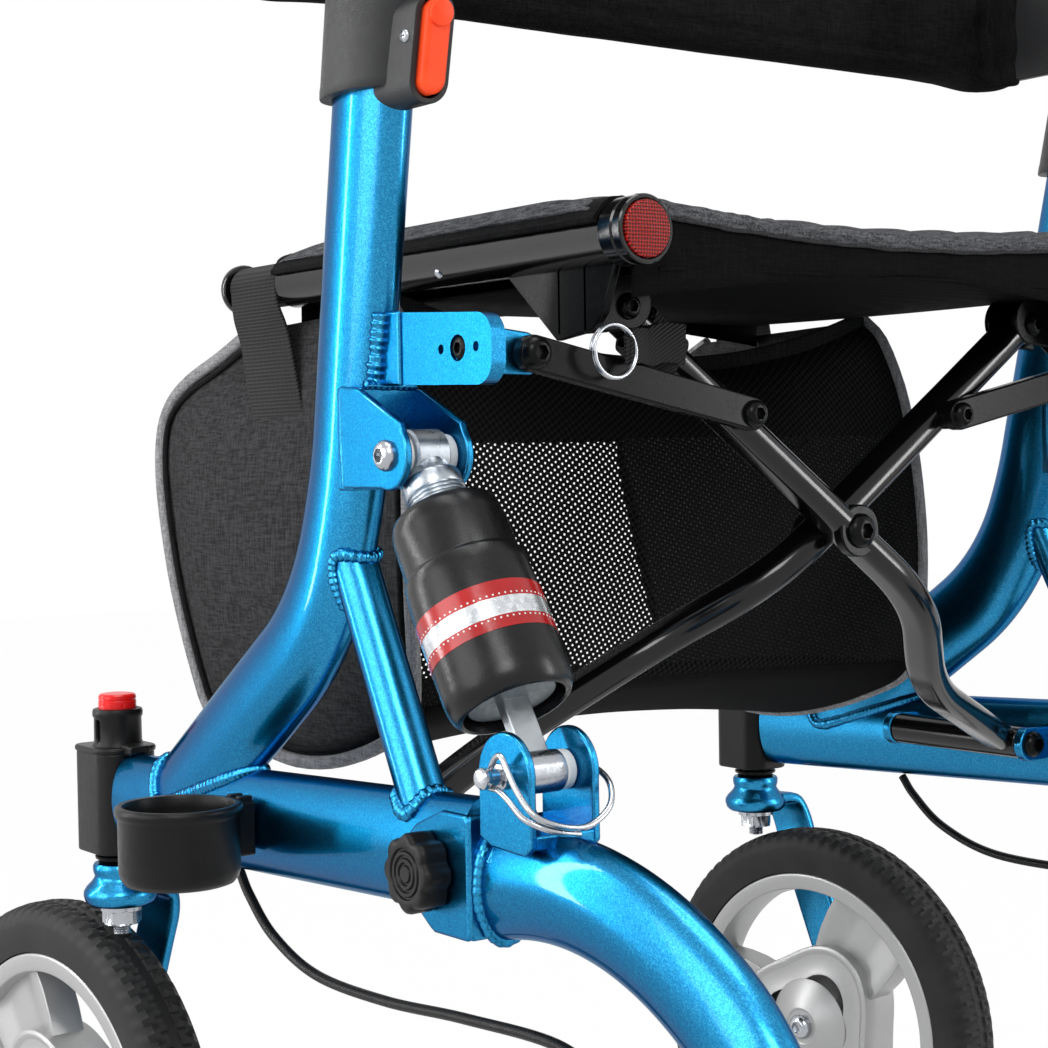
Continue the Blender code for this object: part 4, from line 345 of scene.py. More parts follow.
class Finish:
    """A Principled material, with short calls for its nodes. Places are in metres."""

    def __init__(self, name, colour, roughness, metallic=0.0, **sockets):
        self.material = bpy.data.materials.new(name)
        self.material.use_nodes = True
        self.tree = self.material.node_tree
        self.shader = self.tree.nodes["Principled BSDF"]
        values = {"Base Color": (*colour, 1.0), "Roughness": roughness, "Metallic": metallic}
        values.update({key.replace("_", " "): value for key, value in sockets.items()})
        for socket, value in values.items():
            self.shader.inputs[socket].default_value = value
        self.place = self.add("TexCoord").outputs["Object"]

    def add(self, kind, links=None, **settings):
        node = self.tree.nodes.new("ShaderNode" + kind)
        for key, value in settings.items():
            setattr(node, key, value)
        for socket, source in (links or {}).items():
            if isinstance(source, bpy.types.NodeSocket):
                self.tree.links.new(source, node.inputs[socket])
            else:
                node.inputs[socket].default_value = source
        return node

    def noise(self, scale, detail=2.0, stretch=None):
        place = self.place
        if stretch:
            place = self.add("Mapping", {"Vector": place, "Scale": stretch}).outputs[0]
        return self.add("TexNoise", {"Vector": place, "Scale": scale, "Detail": detail}).outputs[0]

    def cells(self, scale):
        colour = self.add("TexVoronoi", {"Vector": self.place, "Scale": scale}).outputs["Color"]
        return self.span(colour, 0.0, 1.0)

    def math(self, operation, a, b=0.0):
        return self.add("Math", {0: a, 1: b}, operation=operation).outputs[0]

    def span(self, value, low, high, out_low=0.0, out_high=1.0):
        links = {"Value": value, "From Min": low, "From Max": high, "To Min": out_low, "To Max": out_high}
        return self.add("MapRange", links).outputs[0]

    def mix(self, share, a, b):
        """Two colours by a share. The sockets of a colour mix have these numbers."""
        links = {0: share}
        for slot, source in ((6, a), (7, b)):
            links[slot] = source if isinstance(source, bpy.types.NodeSocket) else (*source, 1.0)
        return self.add("Mix", links, data_type="RGBA").outputs[2]

    def axis(self, name):
        return self.add("SeparateXYZ", {0: self.place}).outputs[name]

    def ridges(self, value, pitch):
        """A sine of the value with that pitch in metres."""
        return self.math("SINE", self.math("MULTIPLY", value, 2 * math.pi / pitch))

    def use(self, socket, source):
        self.tree.links.new(source, self.shader.inputs[socket])

    def paint(self, share, a, b):
        self.use("Base Color", self.mix(share, a, b))

    def rough(self, scale, low, high):
        self.use("Roughness", self.span(self.noise(scale, 3), 0.3, 0.7, low, high))

    def bump(self, height, distance, strength=1.0):
        """The last step: adds the relief and hands out the material."""
        node = self.add("Bump", {"Height": height, "Distance": distance, "Strength": strength})
        self.use("Normal", node.outputs[0])
        return self.material


def paint_finish():
    """Candy blue over fine metal flakes, deeper where the clear layer is seen at a slant: partly the candy
    layer's depth, partly painted shade standing in for dark surroundings reflected along the tubes' edges.
    """
    f = Finish("blue_flake", (0.002, 0.18, 0.42), 0.28, 1.0, Coat_Weight=0.35, Coat_IOR=1.38,
               Coat_Roughness=0.05, Specular_Tint=(0.01, 0.40, 0.60, 1))
    flake = f.cells(2600)
    shade = f.mix(f.math("MULTIPLY", flake, f.noise(900)), (0.0008, 0.135, 0.34), (0.065, 0.54, 0.84))
    # Base colour darker at a slant: partly candy depth, partly painted shade for dark surroundings reflected
    # at the edges.
    slant_depth_and_shade = f.add("LayerWeight", {"Blend": 0.35}).outputs["Facing"]
    f.paint(f.span(slant_depth_and_shade, 0.10, 0.85), shade, (0.0003, 0.048, 0.150))
    return f.bump(flake, 0.00006, 0.35)


def dark_finish(name, colour, roughness, grain, depth, specular=0.5):
    """Paint, plastic or rubber with a fine grain."""
    f = Finish(name, colour, roughness, Specular_IOR_Level=specular)
    f.paint(f.span(f.noise(60, 3), 0.35, 0.7), colour, [min(1.0, c * 1.35 + 0.0003) for c in colour])
    f.rough(grain / 6, roughness * 0.88, roughness * 1.14)
    return f.bump(f.noise(grain, 3), depth)


def metal_finish(name, colour, roughness):
    """Zinc or aluminium with faint brushing and stains."""
    f = Finish(name, colour, roughness, 1.0)
    f.paint(f.noise(140, 4), [c * 0.84 for c in colour], colour)
    f.rough(420, roughness * 0.85, roughness * 1.2)
    return f.bump(f.noise(900), 0.00003)


def tyre_finish():
    f = Finish("tyre", grey(0.009), 0.55, Specular_IOR_Level=0.25)
    f.paint(f.span(f.noise(35, 4), 0.35, 0.75), grey(0.0065), grey(0.015))
    return f.bump(f.noise(2400, 3), 0.00008)


def hub_finish():
    f = Finish("silver_hub", grey(0.38), 0.38, 0.55)
    f.paint(f.noise(2200), grey(0.31), grey(0.45))
    return f.bump(f.noise(1800), 0.00003)


def lens_finish():
    """Red reflector with a prism pattern, painted bright on its ridges and dark in its valleys: painted
    highlight and painted shade.
    """
    f = Finish("red_lens", (0.40, 0.010, 0.008), 0.30, Specular_IOR_Level=0.3)
    web = f.math("MULTIPLY", *(f.ridges(f.math(way, f.axis("X"), f.axis("Z")), 0.0030)
                               for way in ("ADD", "SUBTRACT")))
    # Painted highlight on the prism ridges and painted shade in their valleys, following the relief.
    f.paint(f.span(web, -0.7, 0.8), (0.06, 0.002, 0.002), (0.52, 0.016, 0.010))
    return f.bump(web, 0.0006)


def cloth_finish(name, dark, pale, axes, pitch=0.0011):
    """Plain weave with a melange of two greys. Axes are the two that the cloth lies along."""
    f = Finish(name, dark, 0.88, Specular_IOR_Level=0.06)
    streaks = f.math("ADD", *(f.noise(1.0, 3, [90 if axis == way else 900 for axis in "XYZ"])
                              for way in axes))
    f.paint(f.span(streaks, 0.80, 1.25), dark, pale)
    return f.bump(f.math("MULTIPLY", *(f.ridges(f.axis(way), pitch) for way in axes)), 0.00012)


def mesh_finish(name, openness, window):
    """Black net with small holes on a slanted grid. Window limits the holes to a patch."""
    f = Finish(name, grey(0.004), 0.80, Specular_IOR_Level=0.06)
    places = {"X": f.axis("X"), "Z": f.axis("Z")}
    slanted = [f.math(way, places[main], f.math("MULTIPLY", places[other], 0.25))
               for way, main, other in (("ADD", "X", "Z"), ("SUBTRACT", "Z", "X"))]
    web = f.math("MULTIPLY", *(f.ridges(value, 0.0043) for value in slanted))
    hole = f.math("GREATER_THAN", web, openness)
    for way, low, high in window:
        for side, limit in (("GREATER_THAN", low), ("LESS_THAN", high)):
            hole = f.math("MULTIPLY", hole, f.math(side, places[way], limit))
    f.use("Alpha", f.math("SUBTRACT", 1.0, hole))
    # Painted shade: the net is darker where its relief dips towards the holes.
    f.paint(f.span(web, -0.5, 0.5), grey(0.0085), grey(0.001))
    return f.bump(web, -0.0004)


def web_finish():
    """Woven strap with cross ribs."""
    f = Finish("webbing", grey(0.010), 0.72, Specular_IOR_Level=0.25)
    ribs = f.ridges(f.math("ADD", f.axis("Z"), f.math("MULTIPLY", f.axis("X"), 0.55)), 0.0019)
    fine = f.ridges(f.axis("Y"), 0.0014)
    # Painted light and shade: rib tops lighter, the grooves between them darker, following the relief.
    f.paint(f.span(ribs, -0.8, 1.0), grey(0.004), (0.020, 0.020, 0.021))
    return f.bump(f.math("ADD", ribs, f.math("MULTIPLY", fine, 0.3)), 0.0003)


def label_finish():
    """Silver foil with small glints."""
    f = Finish("band_silver", (0.60, 0.62, 0.64), 0.20, 0.75, Coat_Weight=0.6, Coat_Roughness=0.05)
    spark = f.cells(420)
    f.paint(spark, (0.42, 0.44, 0.47), (0.78, 0.80, 0.82))
    return f.bump(spark, 0.00015)


BLUE = paint_finish()
GLOSS_BLACK = dark_finish("gloss_black", (0.0018, 0.0018, 0.0020), 0.15, 500, 0.00002, 0.36)
SATIN_BLACK = dark_finish("satin_black", (0.0022, 0.0023, 0.0023), 0.26, 900, 0.00003, 0.11)
BLACK_PLASTIC = dark_finish("black_plastic", (0.0045, 0.0045, 0.0046), 0.36, 1500, 0.00010, 0.18)
GREY_PLASTIC = dark_finish("grey_plastic", (0.016, 0.0165, 0.0175), 0.42, 1900, 0.00016, 0.25)
SLEEVE_BLACK = dark_finish("sleeve_black", (0.0035, 0.0036, 0.0038), 0.28, 1200, 0.00004, 0.28)
ORANGE = dark_finish("orange_plastic", (0.86, 0.060, 0.014), 0.42, 1500, 0.00006, 0.2)
RED = dark_finish("red_plastic", (0.60, 0.008, 0.008), 0.26, 1200, 0.00003, 0.3)
BAND_RED = dark_finish("band_red", (0.31, 0.004, 0.005), 0.20, 500, 0.00006)
GRIP_RUBBER = dark_finish("grip_rubber", (0.006, 0.006, 0.0063), 0.62, 1300, 0.00014, 0.2)
WHITE_NYLON = dark_finish("white_nylon", (0.62, 0.63, 0.62), 0.40, 700, 0.00003)
ZINC = metal_finish("zinc", (0.46, 0.48, 0.51), 0.24)
ALUMINIUM = metal_finish("aluminium", (0.42, 0.46, 0.50), 0.30)
GALVANISED = metal_finish("galvanised", (0.40, 0.43, 0.45), 0.38)
DULL_STEEL = metal_finish("dull_steel", (0.17, 0.20, 0.21), 0.42)
TYRE, HUB, LENS = tyre_finish(), hub_finish(), lens_finish()
SEAT_CLOTH = cloth_finish("seat_cloth", (0.030, 0.031, 0.034), (0.125, 0.127, 0.135), "XY")
UNDER_CLOTH = cloth_finish("under_cloth", (0.0020, 0.0020, 0.0021), (0.0050, 0.0050, 0.0052), "XZ")
BACK_CLOTH = cloth_finish("back_cloth", (0.0040, 0.0040, 0.0042), (0.0110, 0.0110, 0.0115), "XZ")
SIDE_CLOTH = cloth_finish("side_cloth", (0.018, 0.018, 0.019), (0.050, 0.050, 0.052), "YZ")
PIPING = cloth_finish("piping", (0.15, 0.15, 0.155), (0.30, 0.30, 0.31), "YZ", 0.0016)
BINDING = cloth_finish("binding", grey(0.006), (0.016, 0.016, 0.017), "YZ", 0.0016)
NET = mesh_finish("bag_net", 0.63, [("Z", 0.350, 0.512)])
NET_WINDOW = mesh_finish("bag_net_window", -0.9, [("X", -0.168, 0.168), ("Z", 0.368, 0.513)])
WEBBING, BAND_SILVER = web_finish(), label_finish()


# Wheels

def both_ways(profile):
    return profile + [(r, -w) for r, w in reversed(profile)]


def wheel(side, name, radius, half, steps, heading):
    """Tyre with cut tread and a hub of three broad spokes, made round the CAD hub's own place."""
    low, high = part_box(f"{name}_hub_{side}")
    place = Matrix.Translation((low + high) / 2) @ Matrix.Rotation(heading, 4, "Z")
    body, seat, scale = f"{name}_wheel_{side}", radius - 0.0273, radius / WHEEL_RADIUS
    crown = [(seat, -0.016)] + mm([(-21.3, 0.8), (-12, 0), (-7, 0.6), (-3.5, 3), (-1.2, 6.5), (-0.5, 9.5)],
                                  radius, -half)
    crown += mm([(0, -4.5), (0, -3), (-1.4, -2.4), (-1.4, -0.8)], radius, 0)
    rings = []
    for k, t in enumerate(turns(steps)):
        ring = []
        for r, w in both_ways(crown):
            groove = r > radius - 0.009 and abs(w) > 0.0028 and (k + abs(w) * 420) % 4 < 1
            ring.append(polar(w, r - 0.002 * groove, t))
        rings.append(ring)
    bm = drawn("l", (skin, rings, True))
    bm.transform(place)
    give(f"{name}_tread_{side}", bm, TYRE, body, 30, f"{name}_tyre_{side}")
    rim = seat - 0.0004
    lip = mm([(-11.5, -8.5), (-10.5, -15), (-8.5, -16), (-1, -16), (0, -15)], rim, 0)
    lip = both_ways(lip) + [(rim - 0.0125, 0)]
    bm = drawn("l", (turn, lip, ORIGIN, X_AXIS, 120, True))
    for k in range(3):
        middle, faces = math.radians(57 + 120 * k), []
        for way in (-1, 1):
            rings = []
            for share in (0.0, 0.25, 0.5, 0.75, 1.0):
                r = 0.040 * scale + (rim - 0.0105 - 0.040 * scale) * share
                spread = math.radians(34 - 13.5 * share)
                rings.append([polar(way * (0.0102 if j in (0, 1, 7, 8) else 0.0072), r,
                                    middle + spread * (j / 4 - 1)) for j in range(9)])
            faces.append(strip(bm, rings))
        for j in (0, 8):
            for i in range(4):
                bm.faces.new([faces[0][i][j], faces[0][i + 1][j], faces[1][i + 1][j], faces[1][i][j]])
    corners = [(0.052 + 0.006 * math.cos(3 * t), t + math.radians(57)) for t in turns(72)]
    layers = mm([(0, 0), (0, 15.2), (2.6, 15.8), (4.6, 15), (5.6, 14.2), (14, 13.8), (18, 14.8), (20, 15)])
    boss = [(0.030 * scale, 0.0148), (0.0275 * scale, 0.0165)]
    boss += mm([(17.5, 21.5), (13, 23), (11.8, 23.5), (10.8, 22.8), (0, 22.5)])
    for way in (-1, 1):
        skin(bm, [[polar(way * x, (r - inset) * scale, a) for r, a in corners] for inset, x in layers],
             caps=False)
        turn(bm, [(r, way * x) for r, x in boss], ORIGIN, X_AXIS, 60)
    bm.transform(place)
    soft_edge(give(f"{name}_wheel_hub_{side}", bm, HUB, body, 30, f"{name}_hub_{side}"), 0.0005)


for side in SIDES:
    wheel(side, "front", WHEEL_RADIUS, 0.0175, 336, CASTER_TURN[side])
    wheel(side, "rear", REAR_RADIUS, 0.0170, 272, 0.0 if side == "l" else math.pi)


# Welds, bars, screws and plates

def even(points, step, closed=False):
    """Points at even steps along a run."""
    points = [Vector(point) for point in points]
    if closed:
        points.append(points[0])
    spots, left = [points[0]], step
    for a, b in zip(points, points[1:]):
        length, at = (b - a).length, 0.0
        while length - at >= left:
            at += left
            spots.append(a.lerp(b, at / length))
            left = step
        left -= length - at
    return spots[:-1] if closed and (spots[-1] - spots[0]).length < step / 2 else spots


def bead(name, side, body, points, radius, depth=0.14, closed=False, pitch=0.0030):
    """A weld seam of overlapping ripples."""
    run = even(points, pitch / 8, closed)
    ripples = max(1, round(len(run) / 8))
    wobble = [1 + 0.18 * noise.noise(point * 190) for point in run]

    def size(share):
        step = share * ripples % 1.0
        swell = 1 - depth + depth * min(step / 0.7, (1 - step) / 0.3)
        return radius * wobble[int(share * len(run)) % len(run)] * swell

    made(name, side, BLUE, body, (wire, run, size, 14, closed), smooth=70)


def seam(target, ring, direction):
    """Where lines from the ring's points first meet the target."""
    tree = BVHTree.FromBMesh(target)
    hits = [tree.ray_cast(point, direction)[0] for point in ring]
    return [hit for hit in hits if hit]


def rod(bm, start, end, radius, sides=48, edge=0.0):
    """A round bar with a small chamfer at both ends."""
    start, end = Vector(start), Vector(end)
    length = (end - start).length
    profile = [(0, 0), (radius - edge, 0), (radius, edge), (radius, length - edge), (radius - edge, length),
               (0, length)]
    turn(bm, profile, start, end - start, sides)


def at(spot, x):
    """A (y, z) spot at a distance from the frame's plane."""
    return Vector((FRAME_X + x, *spot))


def bar(bm, spot, near, far, *values):
    """A rod along X at a (y, z) spot. Near and far count from the frame's plane."""
    rod(bm, at(spot, near), at(spot, far), *values)


def peg(bm, spot, near, far, *values):
    """A rod along Y at an (x, z) spot."""
    rod(bm, (spot[0], near, spot[1]), (spot[0], far, spot[1]), *values)


def hexagon(size):
    step = math.pi / 3
    return lambda t: size * math.cos(step / 2) / math.cos(t % step - step / 2)


def bolt(bm, centre, axis, radius, height):
    """Button head with a hexagon socket."""
    dome = [(radius * a, height * b) for a, b in ((1, 0.22), (0.93, 0.50), (0.80, 0.76), (0.62, 0.95),
                                                  (0.52, 1))]
    socket = [(hexagon(radius * 0.50), height), (hexagon(radius * 0.47), height * 0.35), (0, height * 0.25)]
    turn(bm, [(0, -0.001), (radius, -0.001)] + dome + socket, centre, axis)


def nut(bm, centre, axis, size, tall):
    edge = size * 0.08
    profile = [(0, 0), (size - edge, 0), (hexagon(size), edge), (hexagon(size), tall - edge),
               (size - edge, tall), (0, tall)]
    turn(bm, profile, centre, axis)


def cross_screw(bm, centre, axis, radius):
    """Domed screw head with a cross recess."""
    def cross(size):
        return lambda t: size * (1.0 if abs(math.cos(2 * t)) > 0.75 else 0.38)

    profile = [(0, -0.001), (radius, -0.001), (radius, 0.0004), (radius * 0.86, 0.0012),
               (radius * 0.66, 0.0016), (cross(radius * 0.60), 0.0017), (cross(radius * 0.50), 0.0005),
               (0, 0.0004)]
    turn(bm, profile, centre, axis, 64)


def plates(name, side, material, body, shapes, edge=0.0009, holes=(), node=None):
    """Flat pieces (outline, low, high, plane) with soft edges and drilled holes (start, end, radius)."""
    for number, shape in enumerate(shapes):
        piece = made(f"{name}_{number}", side, material, body, (slab, *shape), smooth=35, node=node)
        for hole in holes:
            cut_out(piece, drawn(side, (rod, *hole, 40)))
        soft_edge(piece, edge, 3)
        change(piece, "WEIGHTED_NORMAL", False, keep_sharp=True)


def span_of(outline, near, far):
    """A plate's shape across X, counted from the frame's plane."""
    return (outline, FRAME_X + near, FRAME_X + far)


def pair(outline, near, far):
    """Two plates on either side of the frame's plane."""
    return [span_of(outline, near, far), span_of(outline, -far, -near)]


# Painted frame

LINK_NEAR, LINK_FAR = (0.0780, 0.5207), (0.2020, 0.5465)
AXLE, BRAKE = (0.33428, REAR_RADIUS), (0.2883, 0.2116)
CLEVIS = (0.0140, 0.0175)
WEB = 0.0150
HOLE_Z = 0.5482


def link_plane(side):
    return CROSS_Y[TUBES[side]] + 0.0165


def side_frame(side, body):
    """Bent upright, lower tube and strut, with their weld seams, brackets and hinge lugs."""
    bend = trace((BEND_Y, BEND_Z), math.degrees(math.atan2(-1, -LEAN)),
                 [(0.2723, 9.86), (0.1295, 34.35), 0.144], 1.0)
    points = [up_point(0.742)] + [Vector((FRAME_X, y, z)) for y, z in bend]
    slim = ellipse(TUBE_TALL, TUBE_WIDE * 0.985)
    top, foot, strut_radius = at((-0.0140, 0.4760), 0), at((0.0570, 0.3405), 0), 0.0107
    upper = drawn("l", (sweep, points, slim))
    low = drawn("l", (sweep, [(FRAME_X, y, low_z(y)) for y in (-0.235, 0.097)],
                      ellipse(TUBE_TALL, TUBE_WIDE)))
    down = (points[-1] - points[-2]).normalized()
    foot_ring = [points[-2] + down.cross(X_AXIS) * a + X_AXIS * b for a, b in slim]
    fall = (foot - top).normalized()
    first = fall.orthogonal().normalized()
    strut_ring = ring_of(top.lerp(foot, 0.5), first, fall.cross(first), strut_radius, 48)
    for key, run, radius, depth in (("foot", seam(low, foot_ring, down), 0.0036, 0.08),
                                    ("strut_foot", seam(low, strut_ring, fall), 0.0036, 0.22),
                                    ("strut_top", seam(upper, strut_ring, -fall), 0.0034, 0.22)):
        bead(f"weld_{key}", side, body, run, radius, depth, True)
    strut = drawn("l", (rod, top, foot, strut_radius))
    for key, bm in (("upright", upper), ("low_tube", low), ("strut", strut)):
        mirror(bm, side)
        give(f"{key}_{side}", bm, BLUE, body, 60, f"side_frame_{side}")
    shock_bracket(side, body)
    link_bracket(side, body)
    lug = arc((HINGE_X, HINGE_Z), 0.0102, 110, 250, 20) + mm([(-6, -9), (-6, 9)], FRAME_X, HINGE_Z)
    plates("hinge_lug", side, BLUE, body, [(lug, y - 0.003, y + 0.003, "xz") for y in (-0.0970, 0.0060)])
    made("hinge_bolt", side, SATIN_BLACK, body, (peg, (HINGE_X, HINGE_Z), -0.1000, 0.0090, 0.0040, 24),
         (bolt, (HINGE_X, 0.0085, HINGE_Z), Y_AXIS, 0.0075, 0.0050),
         (bolt, (HINGE_X, -0.0995, HINGE_Z), -Y_AXIS, 0.0075, 0.0050))


def shock_bracket(side, body):
    """Bent sheet clevis on the upright."""
    outline = mm([(14, 535), (30, 533), (62, 518)])
    outline += arc(SHOCK_TOP.yz, 0.0150, 40, -110, 24) + mm([(16, 490)])
    web = mm([(8, 489), (20, 489), (28, 534), (8, 534.5)])
    plates("shock_bracket", side, BLUE, body, pair(outline, *CLEVIS) + [span_of(web, -WEB, WEB)])
    for way, key in ((-1, "inner"), (1, "outer")):
        run = mm([(0, 14.5, 491), (0, 12.8, 510), (0, 13, 534)], FRAME_X + way * 0.0152, 0, 0)
        bead(f"weld_bracket_{key}", side, body, run, 0.0016, 0.06)
    bead("weld_bracket_top", side, body, [at((0.0285, 0.5350), x) for x in (-0.013, 0.013)], 0.0024)


def link_bracket(side, body):
    """Plate with three holes behind the upright, and the tongue for the link bar."""
    low, high, rear, corner = 0.5324, 0.5622, 0.1112, 0.0105
    outline = [(0.026, 0.5350)] + arc((rear - corner, low + corner), corner, -88, 0, 10)
    outline += arc((rear - corner, high - corner), corner, 0, 86, 10) + [(0.026, 0.5668)]
    holes = [(at((y, HOLE_Z), -0.01), at((y, HOLE_Z), 0.01), radius)
             for y, radius in ((0.0744, 0.0021), (0.1001, 0.0021), (0.0868, 0.0056))]
    plates("link_plate", side, BLUE, body, [span_of(outline, -0.0036, 0.0036)], 0.0014, holes)
    lip = mm([(27.5, 534.6), (44, 534), (44, 566.4), (27.5, 567.2)])
    plates("link_lip", side, BLUE, body, [span_of(lip, 0.0024, 0.0052)], 0.0012)
    plane = link_plane(side)
    tongue = [(FRAME_X + 0.002, 0.538), (FRAME_X + 0.002, 0.560)] + arc(LINK_FAR, 0.0095, 100, 250, 20)
    plates("link_tongue", side, BLUE, body, [(tongue, plane - 0.0104, plane - 0.0044, "xz")])
    made("link_screws", side, SATIN_BLACK, body, (peg, LINK_FAR, plane - 0.0074, plane + 0.0060, 0.0035, 24),
         (bolt, (LINK_FAR[0], plane + 0.0043, LINK_FAR[1]), Y_AXIS, 0.0070, 0.0040),
         (bolt, at((0.0868, HOLE_Z), 0.0014), X_AXIS, 0.0053, 0.0024))
    for way, key in ((-1, "inner"), (1, "outer")):
        run = [(FRAME_X + way * 0.0058, up_point(z).y + 0.0252, z) for z in (0.5345, 0.5500, 0.5665)]
        bead(f"weld_plate_{key}", side, body, run, 0.0048, 0.20, pitch=0.0038)


def swing_arm(side, body):
    """Bent rear arm with its hinge ears, shock ears, axle and brake mounts."""
    start, first, second = 13.4, 48.5, 33.8
    run = trace((0.1060, 0.3263), start, [(0.1674, first), (0.0920, second)], 1.5)
    y, z = run[-1]
    run.append((y + (z - AXLE[1]) / math.tan(math.radians(first + second - start)), AXLE[1]))
    made("arm_tube", side, BLUE, body, (sweep, [at(spot, 0) for spot in run], ellipse(0.0458, TUBE_WIDE)),
         smooth=60, node="swing_arm")
    inner, outer = TUBE_WIDE / 2 + 0.0010, TUBE_WIDE / 2 + 0.0045
    outline = mm([(107, 305), (109, 307.5), (109, 354.5), (107, 357), (90, 357)])
    outline += arc(PIVOT, 0.0215, 120, 228, 24) + mm([(80, 306.5), (83, 305)])
    web = rounded_box(outer - 0.0005, 0.0258, 0.0030, (FRAME_X, 0.3310))
    plates("arm_ears", side, BLUE, body, pair(outline, inner, outer) + [(web, 0.1050, 0.1092, "xz")], 0.0014)
    joint = [at((0.1100, 0.3272 + a), b) for a, b in ellipse(0.0462, TUBE_WIDE * 1.01)]
    bead("weld_arm", side, body, joint, 0.0033, 0.10, True, 0.0036)
    ears = mm([(116.5, 350), (125, 346.5), (147, 345.5), (151.5, 349)])
    ears += arc(SHOCK_LOW.yz, 0.0175, -10, 190, 36)
    base = mm([(117, 351), (151, 348), (151, 353.5), (117, 356.5)])
    plates("pin_ears", side, BLUE, body, pair(ears, *CLEVIS) + [span_of(base, -WEB, WEB)])
    for key, y, z in (("front", 0.1155, 0.3477), ("rear", 0.1525, 0.3437)):
        run = [at((y, z - 0.0229 * (1 - math.sqrt(1 - (x / 0.0138) ** 2))), x)
               for x in (-0.0115, -0.0090, -0.0060, 0, 0.0060, 0.0090, 0.0115)]
        bead(f"weld_pin_{key}", side, body, run, 0.0024, 0.08)
    made("arm_boss", side, BLUE, body, (bar, AXLE, -0.0160, TUBE_WIDE / 2 + 0.003, 0.0260, 64, 0.0015),
         (bar, AXLE, 0, 0.0332, 0.0110, 40), (bar, BRAKE, 0, 0.0222, 0.0080, 40, 0.0006), smooth=35)
    stop = rounded_box(0.0060, 0.0058, 0.0015, (0.2590, 0.24225))
    plates("cable_stop", side, BLUE, body, [span_of(stop, 0.008, 0.0325)])
    made("arm_axle", side, ZINC, body, (bar, AXLE, 0, 0.0858, 0.0060, 32, 0.0006),
         (nut, at(AXLE, 0.0808), X_AXIS, 0.0105, 0.0050), (nut, at(AXLE, -0.0160), -X_AXIS, 0.0105, 0.0050),
         (bar, BRAKE, 0.020, 0.0350, 0.0040, 24, 0.0005))


